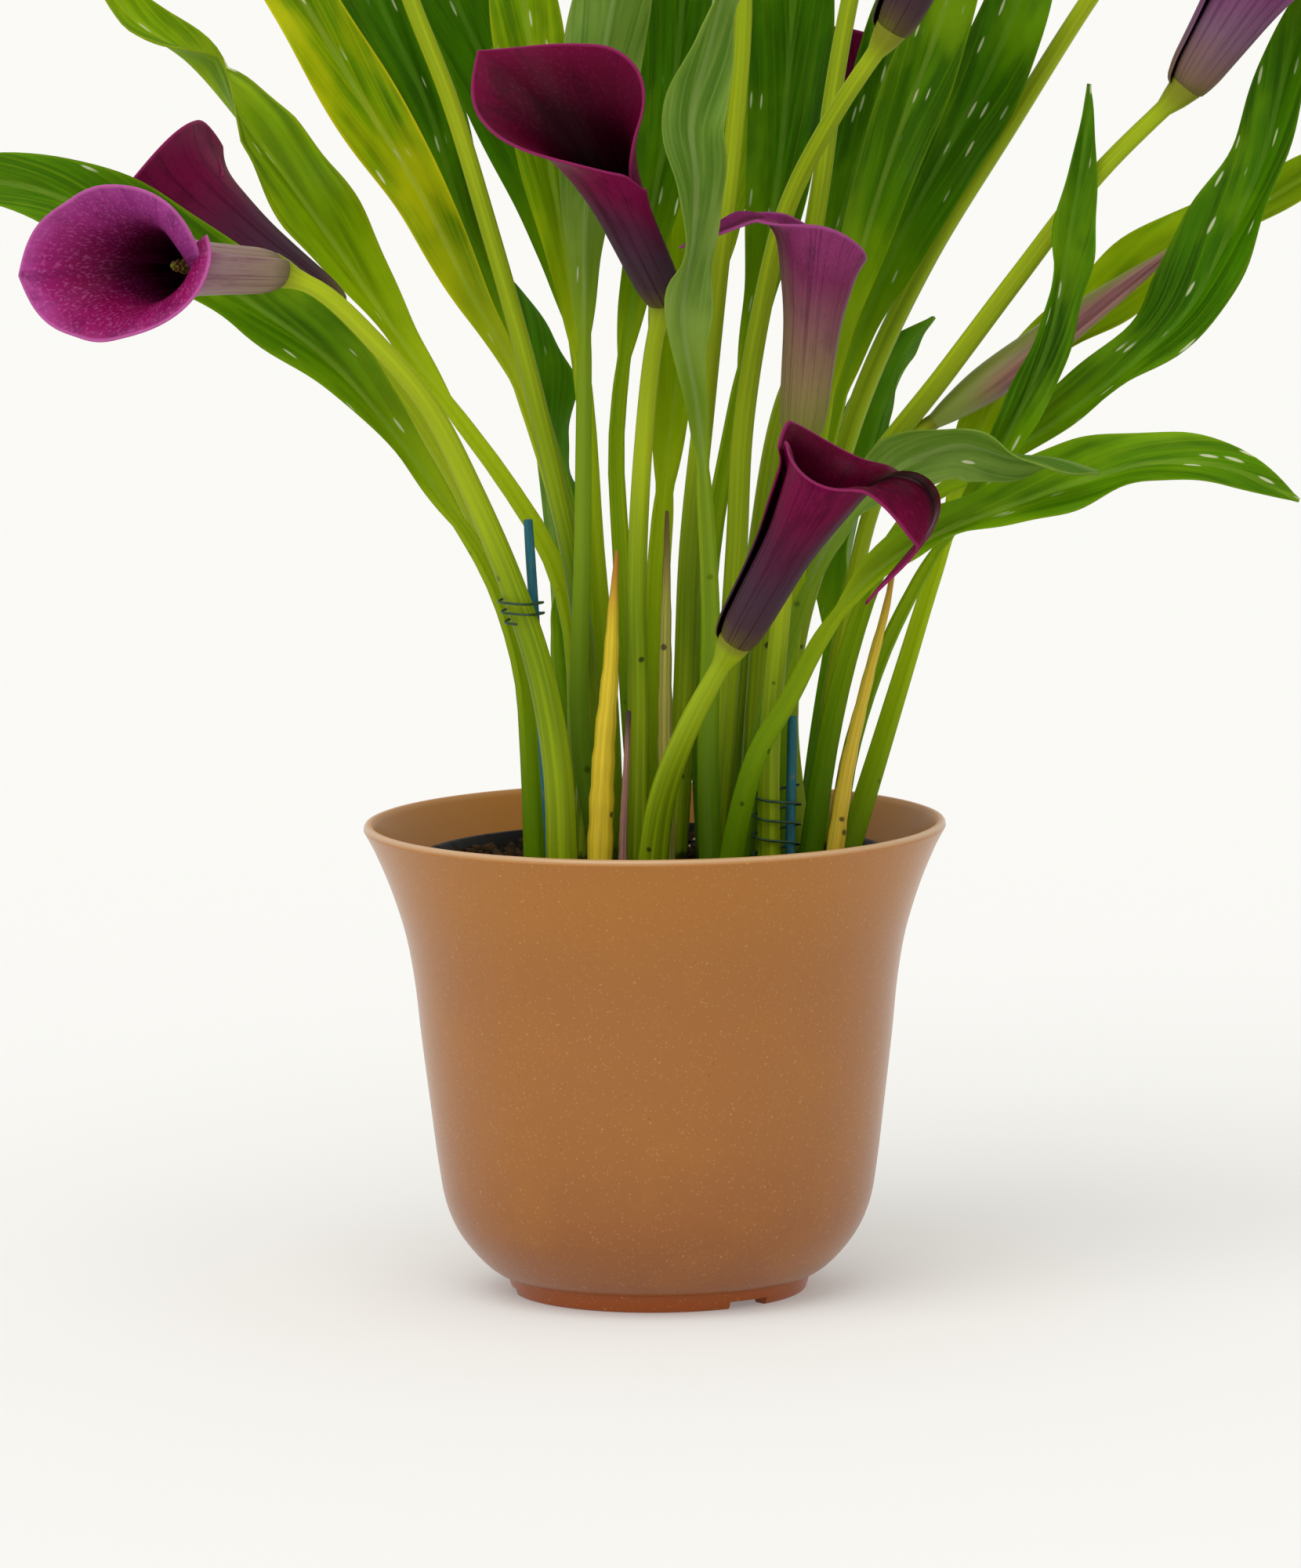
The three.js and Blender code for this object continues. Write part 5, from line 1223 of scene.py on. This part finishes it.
def budFinish(spec):
    make = Finish("rolled bud")
    along, around = make.attributes("along", "around")
    lines = make.grain(around * 16, along * 2.2, 1.0, 3.0, 0.6)
    make.tone = make.mix(lines.step(0.35, 0.7), spec["plum"], spec["rose"])
    make.coat((1 - abs(around - 0.5).step(0.14, 0.34)) * 0.8, spec["green"])
    make.coat(1 - along.step(0.05, 0.3) + along.step(0.86, 1.0) * 0.6, spec["green"])
    return make.done(0.42 + lines * 0.1, (lines, 0.5, 0.4))


def makeBud(spec):
    foot, axis = np.array(spec["foot"], float), unit(spec["axis"])
    side, face = crossFrame(axis, (0, -1, 0))
    core = Route([(0, r, h) for h, r in spec["radii"]])
    points, along, around = [], [], []
    sides, rows = spec["sides"], spec["rows"]
    for i in range(rows):
        radius, height = core.at(i / (rows - 1))[1:]
        for k in range(sides):
            s = k / sides
            angle = 2 * math.pi * s + spec["twist"] * i / rows
            step = 1 + spec["seam"] * (s - 0.5) * math.sin(math.pi * min(1, i / rows * 1.05))
            out = side * math.cos(angle) + face * math.sin(angle)
            points.append(foot + axis * height + out * radius * step)
            along.append(i / (rows - 1))
            around.append(s)
    faces = [tuple(reversed(range(sides))), tuple(range((rows - 1) * sides, rows * sides))]
    for a in range(0, (rows - 1) * sides, sides):
        for k in range(sides):
            n = (k + 1) % sides
            faces.append((a + k, a + n, a + sides + n, a + sides + k))
    made = keepSmooth(meshPiece("bud_fine", points, faces, {"along": along, "around": around}), 50)
    claim(made, budFinish(spec), "bud_rose", "bud")
    centres, shares, length = stemLine(spec["exit"], spec["stalk"], spec["stalkRows"])
    radii = evenly(shares, spec["stalkRadii"])
    stem = tube("bud_stalk_fine", centres, radii, spec["stalkSides"], stalkGreen, shares)
    claim(stem, stalkGreen, "stalk_green", "bud_stalk")


makeBud(budSpec)
print("bud made")


# sheaths: dry husks at the foot of the shoots

sheaths = {
    "yellow": {
        "slot": "sheath_yellow", "exit": (-14.5, -30),
        "path": [(-13, -29, 145), (-11, -28, 168), (-10, -27, 186), (-9, -26, 198)],
        "radii": [3.4, 3.2, 2.6, 1.7, 0.5], "tone": (222, 196, 24), "dark": (196, 168, 18),
        "tip": (176, 104, 28)},
    "pink": {
        "slot": "sheath_pink", "exit": (-8.5, -31),
        "path": [(-8, -32, 129), (-7, -32, 146), (-6.5, -32, 157)], "radii": [1.2, 1, 0.8, 0.7],
        "tone": (178, 132, 118), "dark": (128, 86, 74), "tip": (30, 20, 16)},
    "brown": {
        "slot": "sheath_brown", "exit": (3, -23.5),
        "path": [(3, -23.5, 137), (3, -24, 157), (3.5, -24, 182), (4, -24, 208)],
        "radii": [2.4, 2.2, 1.8, 1.3, 0.5], "tone": (164, 162, 60), "dark": (128, 118, 44),
        "tip": (96, 64, 28)},
    "right": {
        "slot": "sheath_yellow", "exit": (46, -25),
        "path": [(50, -24, 140), (56, -23, 165), (61, -22, 184), (63, -21, 196)],
        "radii": [2.4, 2.1, 1.7, 1.2, 0.5], "tone": (216, 182, 36), "dark": (186, 164, 30),
        "tip": (176, 112, 28)},
}


sheathShape = {"rows": 26, "sides": 14, "wobble": 0.06}


def sheathFinish(name, spec):
    make = Finish("sheath " + name)
    streak = make.streaks(3.2, 0.02, 4.0)
    make.tone = make.mix(streak.step(0.35, 0.68), spec["dark"], spec["tone"])
    make.coat(make.attribute("along").step(0.72, 1.0) * 0.9, spec["tip"])
    make.splash(splashSpec)
    return make.done(0.66, (streak, 0.8, 0.5))


for name, spec in sheaths.items():
    centres, shares, length = stemLine(spec["exit"], spec["path"], sheathShape["rows"])
    radii = evenly(shares, spec["radii"])
    radii = [r * (1 + sheathShape["wobble"] * math.sin(2.1 * k)) for k, r in enumerate(radii)]
    finish = sheathFinish(name, spec)
    husk = tube(f"sheath_{name}_fine", centres, radii, sheathShape["sides"], finish, shares)
    claim(husk, finish, spec["slot"], "sheath_" + name)
print(len(sheaths), "sheaths made")


# plant sticks and the wire that ties a stem to each

stickSpec = {
    "radius": 1.3, "deep": 20, "sides": 18, "rows": 12,
    "teal": (4, 84, 98), "worn": (24, 122, 132), "bare": (120, 112, 84),
    "tops": {"left": (-32, -23.5, 206), "right": (36, -23, 154)},
    "exits": {"left": (-27, -19.8), "right": (35, -24)},
}
wireSpec = {
    "radius": 0.45, "drawn": 0.34, "clear": 0.3, "extra": 0.25, "stepsPerTurn": 34, "sides": 8,
    "green": (22, 58, 34), "worn": (70, 96, 60),
}
ties = {
    "left": {
        "stem": [(-33.3, -29.4, 180), (-34.9, -29.8, 186)],
        "stick": [(-30.6, -22.5, 180), (-30.9, -22.7, 186)], "thick": 3.8, "turns": 2.2},
    "right": {
        "stem": [(29.6, -25.4, 118), (29.9, -26.4, 136)], "stick": [(35.1, -23.9, 118), (35.6, -23.5, 136)],
        "thick": 3, "turns": 3.5},
}


def stickFinish(spec):
    make = Finish("dyed stick")
    here = make.place()
    fibre = make.noise(make.stretch(here, 2.2, 2.2, 0.06), 1.0, 4.0, 0.7)
    make.tone = make.mix(fibre.step(0.4, 0.75) * 0.8, spec["teal"], spec["worn"])
    make.coat(make.noise(here, 0.25, 3.0).step(0.62, 0.72) * 0.5, spec["bare"])
    return make.done(0.66, (fibre, 0.6, 0.4))


def wireFinish(spec):
    make = Finish("coated wire")
    make.tone = make.mix(make.noise(make.place(), 0.6).step(0.5, 0.8) * 0.5, spec["green"], spec["worn"])
    return make.done(0.45)


def makeSticks(spec):
    finish, rows = stickFinish(spec), spec["rows"]
    for name, top in spec["tops"].items():
        top, ground = np.array(top, float), np.array([*spec["exits"][name], shootSpec["exit"]], float)
        low = ground - unit(top - ground) * spec["deep"]
        centres = [low + (top - low) * k / rows for k in range(rows + 1)]
        radii = [spec["radius"]] * rows + [spec["radius"] * 0.9]
        made = tube(f"stake_{name}_fine", centres, radii, spec["sides"], finish)
        claim(keepSmooth(made, 50), finish, "stake_teal", "stake_" + name)


def makeTies(spec):
    finish, stick = wireFinish(spec), stickSpec["radius"]
    clear = spec["radius"] + spec["clear"] + spec["extra"]
    for name, tie in ties.items():
        steps = round(tie["turns"] * spec["stepsPerTurn"])
        centres = []
        for k in range(steps + 1):
            t = k / steps
            angle = 2 * math.pi * tie["turns"] * t
            a, b = ((1 - t) * np.array(tie[key][0]) + t * np.array(tie[key][1]) for key in ("stem", "stick"))
            along = (b - a) * (1, 1, 0)
            half = np.linalg.norm(along) / 2
            along = unit(along)
            square = np.array([-along[1], along[0], 0])
            thick = tie["thick"] + (stick - tie["thick"]) * (1 - math.cos(angle)) / 2 + clear
            reach = tie["thick"] + clear if math.cos(angle) > 0 else stick + clear
            centre = (a + b) / 2 - along * math.cos(angle) * (half + reach)
            bulge = math.copysign(math.sqrt(abs(math.sin(angle))), math.sin(angle)) * thick * 1.12
            centres.append(centre + square * bulge)
        made = tube(f"tie_{name}_fine", centres, [spec["drawn"]] * len(centres), spec["sides"], finish)
        claim(made, finish, "tie_wire", "tie_" + name)


makeSticks(stickSpec)
makeTies(wireSpec)
print("sticks and ties made")


# floor, light and camera

stageSpec = {
    "floor": (214, 214, 211), "lift": 0.2, "size": 60, "sky": (250, 249, 247), "world": 0.84,
    "sun": 1.3, "softness": 50, "from": (-0.3, -0.6, 1.0),
}
cameraSpec = {"across": -0.988, "up": 133.59, "above": 7.558, "roll": -0.576, "away": 3000, "lens": 263.33}


def makeStage(spec):
    box = bmesh.new()
    bmesh.ops.create_grid(box, x_segments=1, y_segments=1, size=spec["size"] / 2)
    floor = fromBox("floor", box)
    make = Finish("floor paint")
    make.tone = spec["floor"]
    lift = {"Emission Color": spec["sky"], "Emission Strength": spec["lift"]}
    floor.data.materials.append(make.done(0.9, gloss=0.1, more=lift))
    floor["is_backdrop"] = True
    world = bpy.data.worlds.new("studio")
    bpy.context.scene.world = world
    world.use_nodes = True
    sky = world.node_tree.nodes["Background"]
    sky.inputs["Color"].default_value = paint(*spec["sky"])
    sky.inputs["Strength"].default_value = spec["world"]
    lamp = bpy.data.lights.new("key light", "SUN")
    lamp.energy = spec["sun"]
    lamp.angle = math.radians(spec["softness"])
    key = link("key light", lamp)
    key.rotation_euler = Vector(spec["from"]).to_track_quat("Z", "Y").to_euler()
    bpy.context.scene.view_settings.view_transform = "Standard"


def makeCamera(spec):
    above, roll = math.radians(spec["above"]), math.radians(spec["roll"])
    back = Vector((0, -math.cos(above), math.sin(above)))
    right = Vector((1, 0, 0))
    up = back.cross(right)
    turnedRight = right * math.cos(roll) + up * math.sin(roll)
    turnedUp = up * math.cos(roll) - right * math.sin(roll)
    data = bpy.data.cameras.new("camera")
    data.lens = spec["lens"]
    data.sensor_width = 36
    data.clip_start, data.clip_end = 0.1, 200
    camera = link("camera", data)
    turn = Matrix((turnedRight, turnedUp, back)).transposed().to_4x4()
    place = Vector((spec["across"], 0, spec["up"])) * mm + back * spec["away"] * mm
    camera.matrix_world = Matrix.Translation(place) @ turn
    bpy.context.scene.camera = camera


makeStage(stageSpec)
makeCamera(cameraSpec)

triangles = sum(len(p.vertices) - 2 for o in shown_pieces() if o.type == "MESH" for p in o.data.polygons)
print("stage made,", triangles, "triangles in all")
